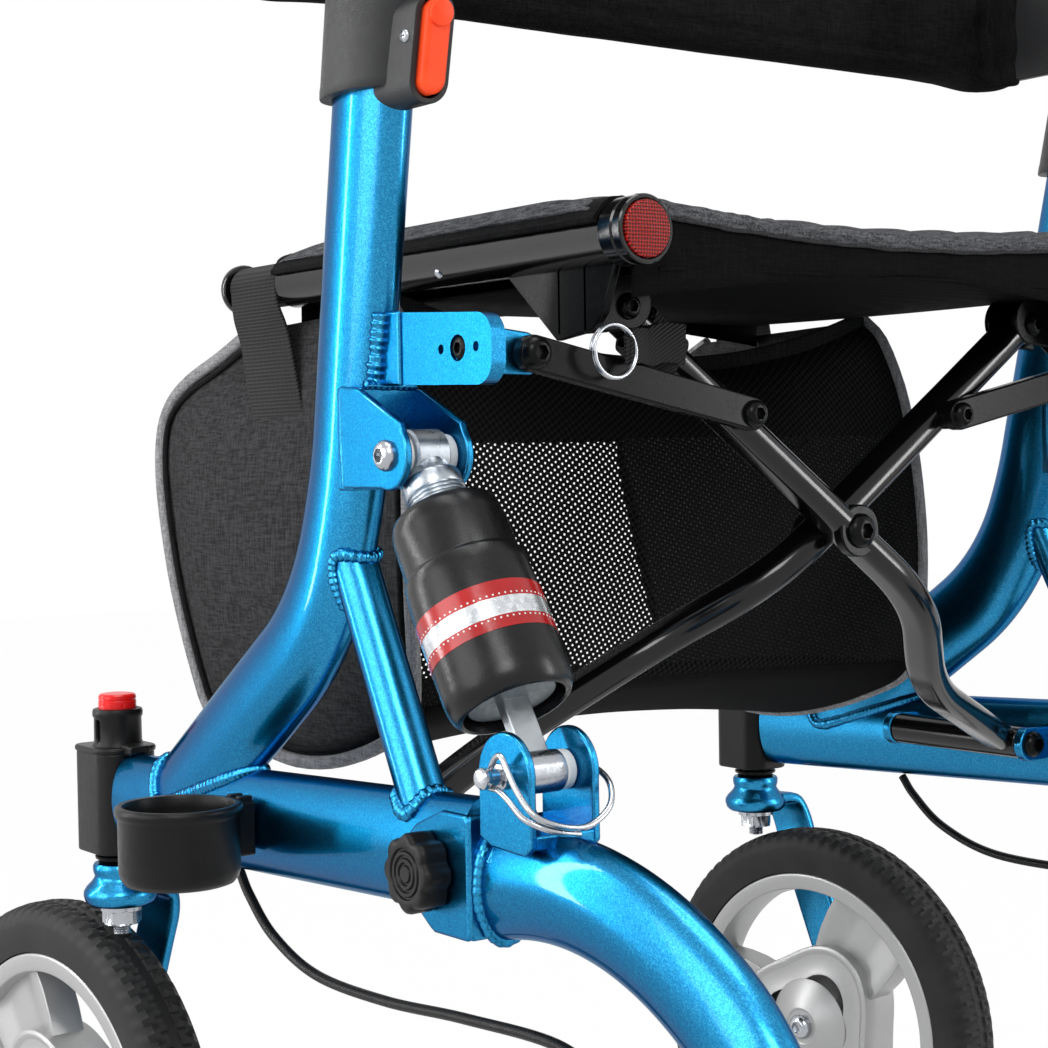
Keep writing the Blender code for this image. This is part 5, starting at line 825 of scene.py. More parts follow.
def shock(side):
    """Eye, ribbed collar, banded sleeve, blade, lower eye, and the pin with its wire bow."""
    upper, lower, top, low = f"shock_{side}", f"shock_lower_{side}", SHOCK_TOP.yz, SHOCK_LOW.yz
    way = (SHOCK_LOW - SHOCK_TOP).normalized()
    flat = Vector((0, way.z, -way.y))

    def down(distance):
        return SHOCK_TOP + way * distance

    neck = mm([(0, 2), (8.8, 2), (9, 6), (10, 9.5), (11.6, 11.8), (12.8, 13), (13.1, 14), (13.1, 19.2),
               (12.8, 20)])
    for k in range(5):
        neck += mm([(12.9, 0), (13.1, 0.6), (12.3, 1), (12.3, 1.4)], 0, 0.0203 + 0.0018 * k)
    made("shock_neck", side, ALUMINIUM, upper, (bar, top, -0.0085, 0.0085, 0.0112, 56, 0.0010),
         (turn, neck + mm([(12.3, 30), (0, 30)]), SHOCK_TOP, way, 72), node="shock_eye")
    made("shock_bushes", side, WHITE_NYLON, upper, *[
        (bar, spot, sign * near, sign * 0.0137, radius, 40, 0.0008)
        for sign in (-1, 1) for spot, near, radius in ((top, 0.0085, 0.0090), (low, 0.0090, 0.0082))])
    made("shock_bolt", side, ZINC, upper, (bolt, at(top, 0.0178), X_AXIS, 0.0068, 0.0042),
         (nut, at(top, -0.0178), -X_AXIS, 0.0068, 0.0052), (bar, top, -0.0200, 0.0185, 0.0040, 24))
    sleeve = mm([(0, 28.5), (15, 28.5), (19.8, 29), (22.6, 30.8), (24, 34), (24.7, 39), (25.1, 57),
                 (25.4, 57.8), (26.1, 58.4), (26.6, 59.6), (27, 65), (27.4, 76), (27.5, 112), (27.2, 116),
                 (26.3, 119.5), (24.8, 122), (23.8, 122.8), (22.8, 123), (22.1, 122.4), (22, 120.5), (22, 95),
                 (8.5, 95), (8.5, 62), (0, 62)])
    made("shock_body", side, SLEEVE_BLACK, upper, (turn, sleeve, SHOCK_TOP, way, 96), smooth=40,
         node="shock_sleeve")
    for key, start, end, material in (("top", 77.5, 85, BAND_RED), ("middle", 85, 93, BAND_SILVER),
                                      ("low", 93, 98.5, BAND_RED)):
        band = mm([(27.4, start), (27.65, start), (27.65, end), (27.4, end)])
        made(f"shock_band_{key}", side, material, upper, (turn, band, SHOCK_TOP, way, 96, True))
    dots = []
    for t in turns(64):
        out = Matrix.Rotation(t, 3, way) @ flat * 0.02762
        dots += [(rod, down(row) + out, down(row) + out * 1.005, 0.00045, 6) for row in (0.0838, 0.0942)]
    made("shock_band_dots", side, WHITE_NYLON, upper, *dots)
    made("shock_disc", side, SATIN_BLACK, lower, (rod, down(0.078), down(0.114), 0.0080, 40),
         (rod, down(0.1120), down(0.1150), 0.0205, 56, 0.0006), node="shock_rod")
    made("shock_ring", side, DULL_STEEL, lower, (rod, down(0.1150), down(0.1192), 0.0196, 56, 0.0008))
    start, end = down(0.114), SHOCK_LOW + way * 0.002
    blade = [(p + flat * half).yz for p, half in ((start, 0.0026), (start, -0.0026), (end, -0.0026),
                                                  (end, 0.0026))]
    plates("shock_blade", side, GALVANISED, lower, [span_of(blade, -0.0068, 0.0068)], 0.0007)
    made("shock_low_eye", side, ZINC, lower, (bar, low, -0.0090, 0.0090, 0.0086, 48, 0.0008))
    pin = mm([(0, -43.5), (3, -43.5), (4, -42), (4, 0), (5.2, 0), (5.4, 0.6), (5.4, 1.8), (5, 2.3),
              (3.4, 2.5), (3.4, 7.5), (4.2, 7.8), (4.5, 8.6), (4.4, 10.6), (3.6, 11.6), (0, 12)])
    made("quick_pin", side, ZINC, f"arm_{side}", (turn, pin, at(low, 0.0178), X_AXIS, 40), node="shock_pin")
    bows = ([(23.5, 0, 4), (24, 3.8, 8.2), (24.2, 8, 9.2), (24, 12.5, 3), (23.5, 18, -4.2), (21.5, 25.5, -12),
             (13, 29, -16.5), (1, 29.5, -18.5), (-8.5, 28.5, -16), (-16, 26, -11), (-21, 19, -4.5),
             (-23.2, 9, -0.5), (-23.2, 0.5, 0.2)], [(23.8, 0, -4), (24, 6, -4.6), (23.8, 12.5, -8),
                                                    (22.8, 20, -13.6), (18.5, 26.2, -17), (11, 28.6, -19.6),
                                                    (2, 29, -21.2)])
    made("pin_bow", side, ZINC, f"bail_{side}", *[(wire, curve_through(mm(bow, *SHOCK_LOW), 6), 0.0013, 12)
                                                  for bow in bows], smooth=80, node="shock_bail")


# Brace and seat rails

BRACE_TOP = (0.149, 0.1080)
CROSS_BENDS = {"a": mm([(-50, 72, 428), (-103, 27, 377)]),
               "b": mm([(30, 56.5, 445), (69, 7, 409.5), (160, -8, 364)])}


def cross_tube(key, way):
    """Bent oval tube of the brace with its hinge sleeve."""
    body, end = f"brace_{key}", (-way * (HINGE_X - 0.004), -0.0120, HINGE_Z + 0.002)
    start = (way * BRACE_TOP[0], CROSS_Y[key], CROSS_Z + BRACE_TOP[1])
    run = fillet([start, *CROSS_BENDS[key], end], 0.030, 14)
    section = rounded_box(0.0075, 0.0105, 0.0068, steps=10)
    made("cross_bar", key, GLOSS_BLACK, body, (sweep, run, section, Y_AXIS), smooth=60, node="cross_tube")
    made("cross_hinge", key, GLOSS_BLACK, body,
         (peg, (-way * HINGE_X, HINGE_Z), -0.0934, 0.0024, 0.0092, 48, 0.0006))


def link_bar(side, body, y):
    angle = math.degrees(math.atan2(LINK_NEAR[1] - LINK_FAR[1], LINK_NEAR[0] - LINK_FAR[0]))
    outline = arc(LINK_NEAR, 0.0078, angle - 90, angle + 90, 20)
    outline += arc(LINK_FAR, 0.0078, angle + 90, angle + 270, 20)
    plates("link", side, SATIN_BLACK, body, [(outline, y - 0.0030, y + 0.0040, "xz")], 0.0012,
           node="link_bar")
    made("link_bolt", side, SATIN_BLACK, body, (peg, LINK_NEAR, y - 0.0087, y, 0.0072, 40, 0.0005),
         (bolt, (LINK_NEAR[0], y + 0.0040, LINK_NEAR[1]), Y_AXIS, 0.0064, 0.0040))


def seat_rail(side, body, y):
    """Rail with its neck, stop disc and end ring, and the plates that hold the cross tube."""
    front, rear, radius, middle = RAIL_FRONT_Y, RAIL_REAR_Y, RAIL_RADIUS, (RAIL_X, 0, RAIL_Z)
    rail = mm([(0, -8.5), (6, -8.4), (10, -7.7), (12.8, -6.2), (13.9, -4.2), (14, -1.8), (13.4, -0.4),
               (9, 0)], 0, front - 0.054)
    rail += mm([(9, -1), (12.5, 0)], 0, front) + [(radius, front + 0.001)]
    rail += mm([(0, -16.5), (0.2, -16), (1.2, -15), (1.2, -7), (0.4, -6.4), (0.4, -5.4), (1.4, -4.8),
                (1.4, -0.6), (0.8, 0), (-0.4, 0), (-0.8, -0.6), (-0.8, -3)], radius,
               rear) + [(0, rear - 0.0030)]
    made("rail", side, GLOSS_BLACK, body, (turn, rail, middle, Y_AXIS, 88), smooth=35, node="seat_rail")
    lens = mm([(-1.2, -2.4), (-1.2, 0.8), (-2, 1.6)], radius, rear)
    lens = [(0, rear - 0.0024), *lens, (0, rear + 0.0026)]
    made("rail_lens", side, LENS, body, (turn, lens, middle, Y_AXIS, 72), smooth=35, node="reflector")
    gusset = mm([(20, -10), (104, -10)], 0, RAIL_Z) + mm([(94, 564), (86, 557), (60, 554)])
    x, z = BRACE_TOP[0] * 0.965, CROSS_Z + BRACE_TOP[1] * 0.965
    lobes = [(RAIL_X + 0.002, 0.5560), (RAIL_X + 0.002, RAIL_Z), (0.1500, RAIL_Z - 0.004)]
    lobes += arc((x - 0.001, z + 0.002), 0.0125, 110, 270, 20)
    shapes = [(gusset, RAIL_X - 0.0020, RAIL_X + 0.0020)]
    shapes += [(lobes, y + low, y + high, "xz") for low, high in ((-0.0110, -0.0078), (0.0078, 0.0110))]
    plates("saddle", side, SATIN_BLACK, body, shapes)
    made("saddle_bolt", side, SATIN_BLACK, body, (peg, (x, z), y - 0.0120, y + 0.0107, 0.0034, 24),
         (bolt, (x, y + 0.0107, z), Y_AXIS, 0.0060, 0.0040))
    out = Vector((math.cos(math.radians(-38)), 0, math.sin(math.radians(-38))))
    spot = Vector((RAIL_X, -0.0200, RAIL_Z)) + out * (radius - 0.0006)
    rivet = mm([(0, -1), (2.6, -1), (2.6, 0.4), (2, 1.1), (0, 1.4)])
    made("rail_rivet", side, ZINC, body, (turn, rivet, spot, out, 24), smooth=40)


for side in SIDES:
    side_frame(side, f"frame_{side}")
    swing_arm(side, f"arm_{side}")
    shock(side)
cross_tube("a", 1)
face = CROSS_Y["a"] + 0.0075
give("cross_bolt", drawn("l", (peg, (0, CROSS_Z), face - 0.004, face + 0.0022, 0.0128, 56, 0.0008),
                         (bolt, (0, face + 0.0022, CROSS_Z), Y_AXIS, 0.0085, 0.0046),
                         (nut, (0, 0.0483, CROSS_Z), -Y_AXIS, 0.0085, 0.0060)), SATIN_BLACK, "brace_a", 30)
cross_tube("b", -1)
for side, key in TUBES.items():
    link_bar(side, f"link_{side}", link_plane(side))
    seat_rail(side, f"brace_{key}", CROSS_Y[key])


# Casters

STEM = (FRAME_X, STEM_Y, 0)


def housing(side, body):
    """Plastic housing with its tower, clip and button."""
    rear, front = -0.2366, -0.2765
    outline = []
    for x, y, inward, radius, start in ((1, rear, -1, 0.0125, 0), (-1, rear, -1, 0.0125, 90),
                                        (-1, front, 1, 0.0075, 180), (1, front, 1, 0.0075, 270)):
        outline += arc((FRAME_X + x * (0.0175 - radius), y + inward * radius), radius, start, start + 90, 8)
    middle = (front + rear) / 2
    wider = [(FRAME_X + (x - FRAME_X) * 1.045, middle + (y - middle) * 1.035) for x, y in outline]
    block = made("housing", side, BLACK_PLASTIC, body, (slab, outline, 0.2906, 0.3462, "xy"),
                 (slab, wider, 0.3455, 0.3490, "xy"), smooth=35, node="caster_housing")
    soft_edge(block, 0.0014, 4)
    tube = mm([(0, 348), (14.2, 348), (13.6, 350), (13, 351.5), (12.9, 364), (13.6, 365.2), (13.7, 367.4),
               (13.2, 368.8), (12.2, 369.2), (10.7, 369.2), (10.7, 351), (0, 351)])
    tower = made("tower", side, BLACK_PLASTIC, body, (turn, tube, STEM, UP, 72), smooth=35)
    slot = drawn("l", (slab, rounded_box(0.0024, 0.0062, 0.0023, (0, 0.3575)), 0.0108, 0.03, "xz"))
    slot.transform(Matrix.Translation(STEM) @ Matrix.Rotation(math.radians(-82), 4, "Z"))
    mirror(slot, side)
    cut_out(tower, slot)
    clip = mm([(-240.5, 344), (-227, 346.2), (-227, 350.5), (-240, 351.2)])
    plates("housing_clip", side, BLACK_PLASTIC, body, [span_of(clip, -0.006, 0.006)], 0.0012)
    button = mm([(0, 358.5), (10.3, 358.5), (10.3, 373.2), (10, 373.6), (10, 374.2), (10.3, 374.6),
                 (10.1, 376.2), (9.2, 377), (7.5, 377.3), (0, 376.9)])
    made("button", side, RED, f"button_{side}", (turn, button, STEM, UP, 72), node="caster_button")


def turning(name, side, material, *steps, smooth=30, node=None):
    """A piece that turns with the caster, drawn about the stem with the wheel trailing along +Y."""
    bm = drawn(side, *steps)
    turned = Matrix.Rotation(CASTER_TURN[side], 4, "Z")
    bm.transform(Matrix.Translation((SIDES[side] * FRAME_X, STEM_Y, 0)) @ turned)
    give(f"{name}_{side}", bm, material, f"caster_{side}", smooth, node and f"{node}_{side}")


def caster(side):
    """Turning cup with its single leg, axle, nut and seal."""
    low, hub = 0.2610, (TRAIL, WHEEL_RADIUS)
    cup = mm([(6.5, 0), (15, 0), (17.6, 0.6), (19.6, 2.6), (20.5, 5.8), (20.3, 8), (18.8, 10.4), (16.2, 13),
              (14.7, 15), (14.2, 16.6), (14.8, 18), (15.1, 19.6), (15.1, 22), (14.3, 23.2), (6.5, 23.2)], 0,
             low)
    turning("cup", side, BLUE, (turn, cup, ORIGIN, UP, 88, True), smooth=50, node="caster_fork")
    run = mm([(10, 1, 8), (19, 2, 7.5), (26.2, 4, 3), (29.8, 7.5, -8.5), (29.8, 15, -30), (29.8, 34, -79)], 0,
             0, low) + [(0.0298, *hub)]
    turning("fork_leg", side, BLUE, (sweep, curve_through(run, 8),
                                     lambda share: flat_box(0.0170 - 0.0030 * share, 0.0036, 0.0030), Y_AXIS),
            (rod, (0.0262, *hub), (0.0344, *hub), 0.0155, 56, 0.0010), smooth=40)
    turning("caster_axle", side, ZINC, (rod, (-0.0235, *hub), (0.0344, *hub), 0.0050, 32),
            (rod, (0.0238, *hub), (0.0264, *hub), 0.0085, 40), (nut, (0.0344, *hub), X_AXIS, 0.0074, 0.0058),
            (bolt, (-0.0238, *hub), -X_AXIS, 0.0080, 0.0046))
    thread = mm([(0, 244.6), (4, 244.6)])
    for k in range(5):
        thread += mm([(4.8, 245), (4.3, 245.6)], 0, 0.0012 * k)
    turning("caster_nut", side, ZINC, (turn, thread + mm([(4.8, 251.2), (0, 251.2)]), ORIGIN, UP, 40),
            (nut, (0, 0, 0.2505), UP, 0.0106, 0.0078),
            (turn, mm([(0, 258.2), (11.8, 258.2), (11.8, 260.6), (0, 260.6)])), node="caster_stem")
    seal = mm([(6, 284.2), (11.6, 284.3), (12.4, 285.2), (11.2, 286), (11.2, 286.6), (13.6, 287),
               (13.8, 288.4), (12.4, 289.2), (12.2, 289.9), (6, 290)])
    turning("caster_seal", side, SATIN_BLACK, (turn, seal, ORIGIN, UP, 56, True))


# Arm details

ANCHOR, CABLE_X = (0.2763, 0.2396), 0.0270


def knob(side, body):
    """Eight-lobed knob with turned grooves in its face."""
    x = TUBE_WIDE / 2 + 0.0048
    shape = mm([(15, 0), (16.2, 1), (16.3, 10.4), (15.8, 12), (15, 12.8), (14, 13.1), (11.8, 13.1)])
    waves = [1.0, 1.0, 1.0, 1.0, 0.9, 0.6] + [0.0] * 13
    for k in range(3):
        shape += mm([(0, 13), (-0.5, 12.1), (-1.2, 12.1), (-1.7, 13)], 0.0110 - 0.0030 * k, 0)
    rings = []
    for (radius, along), wave in zip(shape, waves):
        sizes = [(t, radius + wave * 0.0007 * (math.cos(8 * t) - ((1 - math.cos(8 * t)) / 2) ** 4))
                 for t in turns(160)]
        rings.append([polar(FRAME_X + x + along, size, t, PIVOT) for t, size in sizes])
    made("knob", side, BLACK_PLASTIC, body, (skin, rings), smooth=35, node="pivot_knob")
    made("knob_bolt", side, ZINC, body, (bar, PIVOT, -x, x, 0.0040, 32),
         (nut, at(PIVOT, -x), -X_AXIS, 0.0078, 0.0055))


def brake(side, body):
    """Brake plate with its rubber shoe, return spring and cable anchor."""
    near = 0.0225
    anchor, pivot, shoe = (Vector(spot) for spot in (ANCHOR, BRAKE, (0.2557, 0.1805)))
    way = (shoe - anchor).normalized()
    outline = []
    for end, across in ((shoe, -0.0070), (anchor, 0.0070)):
        start = math.degrees(math.atan2(end.y - pivot.y, end.x - pivot.x))
        outline += [pivot + Vector((-way.y, way.x)) * across] + arc(end, 0.0070, start - 90, start + 90, 16)
    plates("brake_plate", side, SATIN_BLACK, body, [span_of(outline, near, near + 0.0050)], 0.0010,
           node="rear_brake")
    made("brake_boss", side, SATIN_BLACK, body, (bar, pivot, near + 0.001, near + 0.0090, 0.0085, 48, 0.0008),
         (bar, anchor, near + 0.001, near + 0.0100, 0.0045, 32, 0.0006))
    made("brake_shoe", side, GRIP_RUBBER, body, (bar, shoe, near + 0.0040, 0.0710, 0.0055, 40, 0.0008))
    coil = [polar(FRAME_X + near + 0.0095 + 0.0011 * k / 24, 0.0062, 2 * math.pi * k / 24, pivot)
            for k in range(97)]
    made("brake_spring", side, ZINC, f"arm_{side}", (wire, coil, 0.0005, 8),
         (nut, at(pivot, near + 0.0128), X_AXIS, 0.0062, 0.0035), smooth=60)


def cable(side):
    """Outer cable from under the lower tube to the brake, with its end cap."""
    stop, body = (0.2559, 0.2425), f"arm_{side}"
    run = [at((-0.1180, low_z(-0.118) - TUBE_TALL / 2 - 0.0018), 0)]
    run += mm([(0, -108, 288), (0, -85, 272), (0, -45, 260.5), (0, 15, 260), (0, 80, 265), (2, 150, 268),
               (15, 200, 260)], FRAME_X, 0, 0)
    run += mm([(0, -20, 4), (0, -1, 0)], FRAME_X + CABLE_X, *stop)
    hose = made("cable", side, BLACK_PLASTIC, None, (wire, curve_through(run, 12), 0.0025, 16), smooth=60,
                node="brake_cable")
    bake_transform(hose)
    cap = mm([(0, -11, 2.6), (0, 0.4, 0), (0, 5, 0)], FRAME_X + CABLE_X, *stop)
    made("cable_end", side, ZINC, body, (rod, *cap[:2], 0.0034, 24, 0.0005))
    made("inner_cable", side, ZINC, body, (rod, cap[2], at(ANCHOR, CABLE_X), 0.0008, 12), smooth=60)


# Collars and handles

CAM_Z, HEAD_Z, BAR_Z = 0.6744, 0.8600, 0.8950


def oval_rings(rows, tall, wide, sides):
    """Level ovals round the upright's line: each row is a height, a growth and a scale."""
    return [[up_point(z) + Vector((b, a, 0)) * size for a, b in ellipse(tall + grow, wide + grow, sides)]
            for z, grow, size in rows]


def collar(side, body):
    """Height collar with the lever's cheeks and the arm that holds the backrest."""
    rows = mm([(661, 11.2), (661.6, 12), (665, 12.2), (666.8, 11.8), (730, 11.6), (744, 11.2), (748.5, 10),
               (751, 7.6), (752, 5), (752, -6), (742.5, -6), (742.4, 0.6), (661, 0.6)])
    rings = oval_rings([(z, grow, 1.0) for z, grow in rows], TUBE_TALL, TUBE_WIDE, 88)
    made("collar", side, GREY_PLASTIC, body, (skin, rings, True), smooth=40, node="height_collar")
    cam_x, lever = up_point(0.6768).x, f"height_lever_{side}"

    def leaning(half_x, half_z, corner, near, far):
        """A rounded block behind the collar that leans as the upright does."""
        bm = drawn(side, (slab, rounded_box(half_x, half_z, corner, (cam_x, CAM_Z), 12), near, far, "xz"))
        for vertex in bm.verts:
            vertex.co.y += LEAN * (vertex.co.z - CAM_Z)
        return bm

    cheek = give(f"cheeks_{side}", leaning(0.0098, 0.0228, 0.0092, 0.0440, 0.0742), GREY_PLASTIC, body)
    cut_out(cheek, leaning(0.0068, 0.0206, 0.0066, 0.0520, 0.0900))
    soft_edge(cheek, 0.0012, 3)
    cam = give(f"height_cam_{side}", leaning(0.0062, 0.0194, 0.0061, 0.0640, 0.0785), ORANGE, lever,
               node=lever)
    soft_edge(cam, 0.0022, 4)
    face = (cam_x, 0.0785 + LEAN * (0.6876 - CAM_Z), 0.6876)
    button = mm([(0, -1), (5.7, -1), (5.7, 1), (5.3, 1.5), (4.6, 1.7), (0, 1.8)])
    made("cam_button", side, ORANGE, lever, (turn, button, face, (0, 1, -0.2), 56), smooth=35)
    made("collar_screws", side, ZINC, body, *[
        (cross_screw, (cam_x + way * 0.0096, 0.0685, 0.6790), (way, 0, 0), 0.0030) for way in (-1, 1)],
        (cross_screw, at((0.0020, 0.7470), 0.0180), X_AXIS, 0.0046))
    arm = rounded_box(0.0335, 0.0250, 0.0090, (-0.0135, 0.7470), 8)
    plates("back_arm", side, GREY_PLASTIC, body, [span_of(arm, 0.0130, 0.0180)], 0.0012)


def handle(side, body):
    """Sliding tube with its head, the grip on its bar, and the brake lever between its ears."""
    top = up_point(HEAD_Z)
    start, along = Vector((top.x, top.y + 0.012, BAR_Z)), Vector((0.004, 0.150, 0.010)).normalized()
    made("handle_post", side, GLOSS_BLACK, body, (sweep, [up_point(0.6180), top], ellipse(0.0440, 0.0209)),
         smooth=60, node="handle_tube")
    rows = ((-0.0220, 0.93), (-0.0212, 1), (0, 1), (0.0200, 1.02), (0.0380, 1.02), (0.0450, 0.97),
            (0.0485, 0.88), (0.0500, 0.74))
    rings = oval_rings([(HEAD_Z + rise, 0.0, size) for rise, size in rows], 0.0520, 0.0309, 72)
    made("handle_head", side, BLACK_PLASTIC, body, (skin, rings), smooth=45)
    neck = mm([(0, 10), (16, 10), (15, 22), (13, 27.5), (0, 27.8)])
    made("handle_bar", side, BLACK_PLASTIC, body, (rod, start, start + along * 0.140, 0.0110),
         (turn, neck, start, along, 56), smooth=40)
    ear = mm([(10, -12), (10, -42), (40, -42), (46, -12)], top.y, BAR_Z)
    plates("lever_ear", side, BLACK_PLASTIC, body, [(ear, top.x + x - 0.002, top.x + x + 0.002)
                                                    for x in (-0.0105, 0.0105)])
    profile = mm([(0, 28), (17.2, 28), (18, 29), (18, 31), (16.8, 32.5)])
    for k in range(61):
        share = k / 60
        swell = 0.0015 * math.sin(math.pi * share)
        groove = 0.0009 * math.cos(6 * math.pi * share)
        ridge = 0.0005 * (0.5 + 0.5 * math.cos(2 * math.pi * 24 * share)) if 0.10 < share < 0.90 else 0.0
        profile.append((0.0165 + swell - groove - ridge, 0.0330 + 0.1110 * share))
    profile += mm([(16, 146.5), (14.5, 149), (11, 150.6), (5, 151.2), (0, 151.3)])
    made("handle_grip", side, GRIP_RUBBER, body, (turn, profile, start, along, 72), smooth=60, node="grip")
    pivot = (top.x, top.y + 0.034, 0.8630)
    spine = fillet(mm([(0, 0, 0), (0, 30, -6), (0, 60, -8), (0, 130, 2)], *pivot), 0.02)
    rings = rings_along(spine, lambda share: [
        (-a, b) for a, b in rounded_box(0.0042 + 0.0016 * math.sin(math.pi * share), 0.0062, 0.0034)])
    tip, end = rings[-1], tangent_at(spine, len(spine) - 1)
    for size, step in ((0.92, 0.0022), (0.70, 0.0040), (0.36, 0.0050)):
        rings.append([spine[-1] + (p - spine[-1]) * size + end * step for p in tip])

    def pin(half, *values):
        return (rod, (top.x - half, *pivot[1:]), (top.x + half, *pivot[1:]), *values)

    made("brake_handle", side, BLACK_PLASTIC, f"brake_lever_{side}", (skin, rings),
         pin(0.0078, 0.0072, 40, 0.0006), smooth=45, node="brake_lever")
    made("lever_pin", side, ZINC, body, pin(0.0140, 0.0030, 24, 0.0004))


# Cane cup and the strap with its ring

def cane_cup(body):
    low, top, radius, near = 0.3045, 0.3425, 0.0286, TUBE_OUT + 0.0006
    cup = [(0, low)] + mm([(-6, 0), (-3, 1), (-1, 3.4), (0, 7.5)], radius, low)
    cup += mm([(0, -6.2), (0.6, -5.4), (1.3, -4), (1.5, -2.2), (1, -0.7), (0, 0), (-2, -0.2), (-2.7, -1.6),
               (-2.8, -6)], radius, top)
    cup += mm([(-4, 11), (-6.8, 5.2), (-11, 3.4)], radius, low) + [(0, low + 0.0030)]
    centre = (TUBE_OUT + 0.0368, -0.083, 0)
    give("cane_cup", drawn("l", (turn, cup, centre, UP, 120)), BLACK_PLASTIC, body, 45, "cane_holder")
    outline = rounded_box(0.0085, 0.0130, 0.0014, (-0.083, low + 0.0235))
    plates("cane_block", "l", BLACK_PLASTIC, body, [(outline, near, near + 0.0100)], 0.0010)
    clip = rounded_box(0.0036, 0.0018, 0.0007, (near + 0.0046, top - 0.0008))
    plates("cane_clip", "l", BLACK_PLASTIC, body, [(clip, y - 0.0020, y + 0.0020, "xz")
                                                   for y in (-0.0865, -0.0775)], 0.0006)


def hanging_strap(body, y):
    """Webbing round the rear cross tube with its tail folded through a split ring."""
    along = Vector((BRACE_TOP[0], 0, BRACE_TOP[1])).normalized()
    up, centre = Vector((-along.z, 0, along.x)), Vector((0, y, CROSS_Z)) + along * 0.15
    bm = bmesh.new()
    for inner, outer in ((0.0003, 0.0014), (0.0015, 0.0025)):
        rings, half = [], 0.0142 - outer
        for grow, shift in ((outer, -half), (outer, half), (inner, half), (inner, -half)):
            section = rounded_box(0.0105 + grow, 0.0075 + grow, 0.0068 + grow, steps=8)
            rings.append([centre + along * shift + up * a + Y_AXIS * b for a, b in section])
        skin(bm, rings, closed=True)
    give("strap_round", bm, WEBBING, body, 40, "strap_loop")
    ring = (RAIL_X, y + 0.027, RAIL_Z - 0.0505)
    run = mm([(-10, 0, 0), (4, 1, 0.4), (14, 4, -2)], centre.x, y + 0.0099, centre.z)
    run = curve_through(run + mm([(-16.5, -4, 3), (-9.5, -1.2, 0.6), (-8.3, 1, 0)], *ring), 8)
    tails = []
    for shift in (-0.0009, 0.0012):
        def section(share, shift=shift):
            return [(a + shift, b) for a, b in flat_box(0.0092 - 0.0042 * share ** 2, 0.0009, 0.0008, 2)]
        tails.append((sweep, run, section, UP))
    give("strap_tail", drawn("l", *tails), WEBBING, body, 40)
    points = []
    for k in range(145):
        t = 2 * math.pi * k / 72
        points.append(Vector(ring) + Vector((0.0115 * math.cos(t), (k / 144 - 0.5) * 0.0024,
                                             0.0115 * math.sin(t))))
    give("key_ring", drawn("l", (wire, points, 0.0010, 12)), ZINC, body, 60, "split_ring")


for side in SIDES:
    housing(side, f"frame_{side}")
    caster(side)
    knob(side, f"knob_{side}")
    brake(side, f"brake_{side}")
    cable(side)
    collar(side, f"frame_{side}")
    handle(side, f"handle_{side}")
cane_cup("frame_l")
hanging_strap("brace_a", CROSS_Y["a"])


# Soft pieces

SEAT_TOP = RAIL_RADIUS + 0.0008


def puff(piece, most, voxel):
    """Fills a closed shape with air by cloth simulation, and caps how far a point may move."""
    change(piece, "REMESH", mode="VOXEL", voxel_size=voxel)
    before = [v.co.copy() for v in piece.data.vertices]
    settings = piece.modifiers.new("cloth", "CLOTH").settings
    settings.use_pressure = True
    settings.uniform_pressure_force = 3.0
    settings.effector_weights.gravity = 0
    settings.quality = 4
    for number in range(1, 21):
        bpy.context.scene.frame_set(number)
    apply(piece)
    bpy.context.scene.frame_set(1)
    for vertex, start in zip(piece.data.vertices, before):
        move = vertex.co - start
        if move.length > most:
            vertex.co = start + move.normalized() * most


def cloth(name, material, step, thick=0.0):
    """A soft piece from one drawing step, made thick where it is a single sheet."""
    piece = give(name, drawn("l", step), material, None, 60)
    if thick:
        change(piece, "SOLIDIFY", thickness=thick)
    return piece


def rail_to_rail(piece):
    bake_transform(piece)


def fill_at(x):
    """One in the middle of the seat, none at its rails."""
    return 1 - (x / RAIL_X) ** 2


def seat_pad():
    """Padded top that lies over both rails and sags between them."""
    rings, reach, length = [], SEAT_TOP + 0.0030, SEAT_REAR_Y - RAIL_FRONT_Y
    for k in range(41):
        share = k / 40
        edge = min(1.0, share * 9, (1 - share) * 9)
        outline = [(RAIL_X + reach * math.cos(a), RAIL_Z + reach * math.sin(a))
                   for a in map(math.radians, range(15, 91, 15))]
        for j in range(1, 48):
            x = RAIL_X * math.cos(math.pi * j / 48)
            outline.append((x, RAIL_Z + reach + (0.0045 * edge - 0.0105) * fill_at(x)))
        outline += [(-x, z) for x, z in reversed(outline[:6])]
        under = [(x * 0.998, z - 0.0028 - 0.010 * edge * max(0.0, fill_at(x))) for x, z in reversed(outline)]
        rings.append([Vector((x, RAIL_FRONT_Y + length * share, z)) for x, z in outline + under])
    top = cloth("seat_pad", SEAT_CLOTH, (skin, rings))
    puff(top, 0.0030, 0.0035)
    for vertex in top.data.vertices:
        co = vertex.co
        share = (co.y - RAIL_FRONT_Y) / length
        near_hem = max(0.0, 1 - abs(share - 0.955) * 40) + max(0.0, 1 - abs(share - 0.045) * 40)
        pucker = 0.5 + 0.5 * math.sin(co.x * 190 + 2.0 * noise.noise(co * 25))
        inner = max(0.0, 1 - abs(co.x / RAIL_X) ** 6)
        co.z += inner * (-0.0016 * near_hem + 0.0011 * (pucker - 0.5) * min(1.0, abs(share - 0.5) * 2.4))
        co.z += 0.0007 * noise.noise(co * 60) * inner
    change(top, "SUBSURF", levels=1, render_levels=1)
    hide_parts("seat")
    rail_to_rail(top)


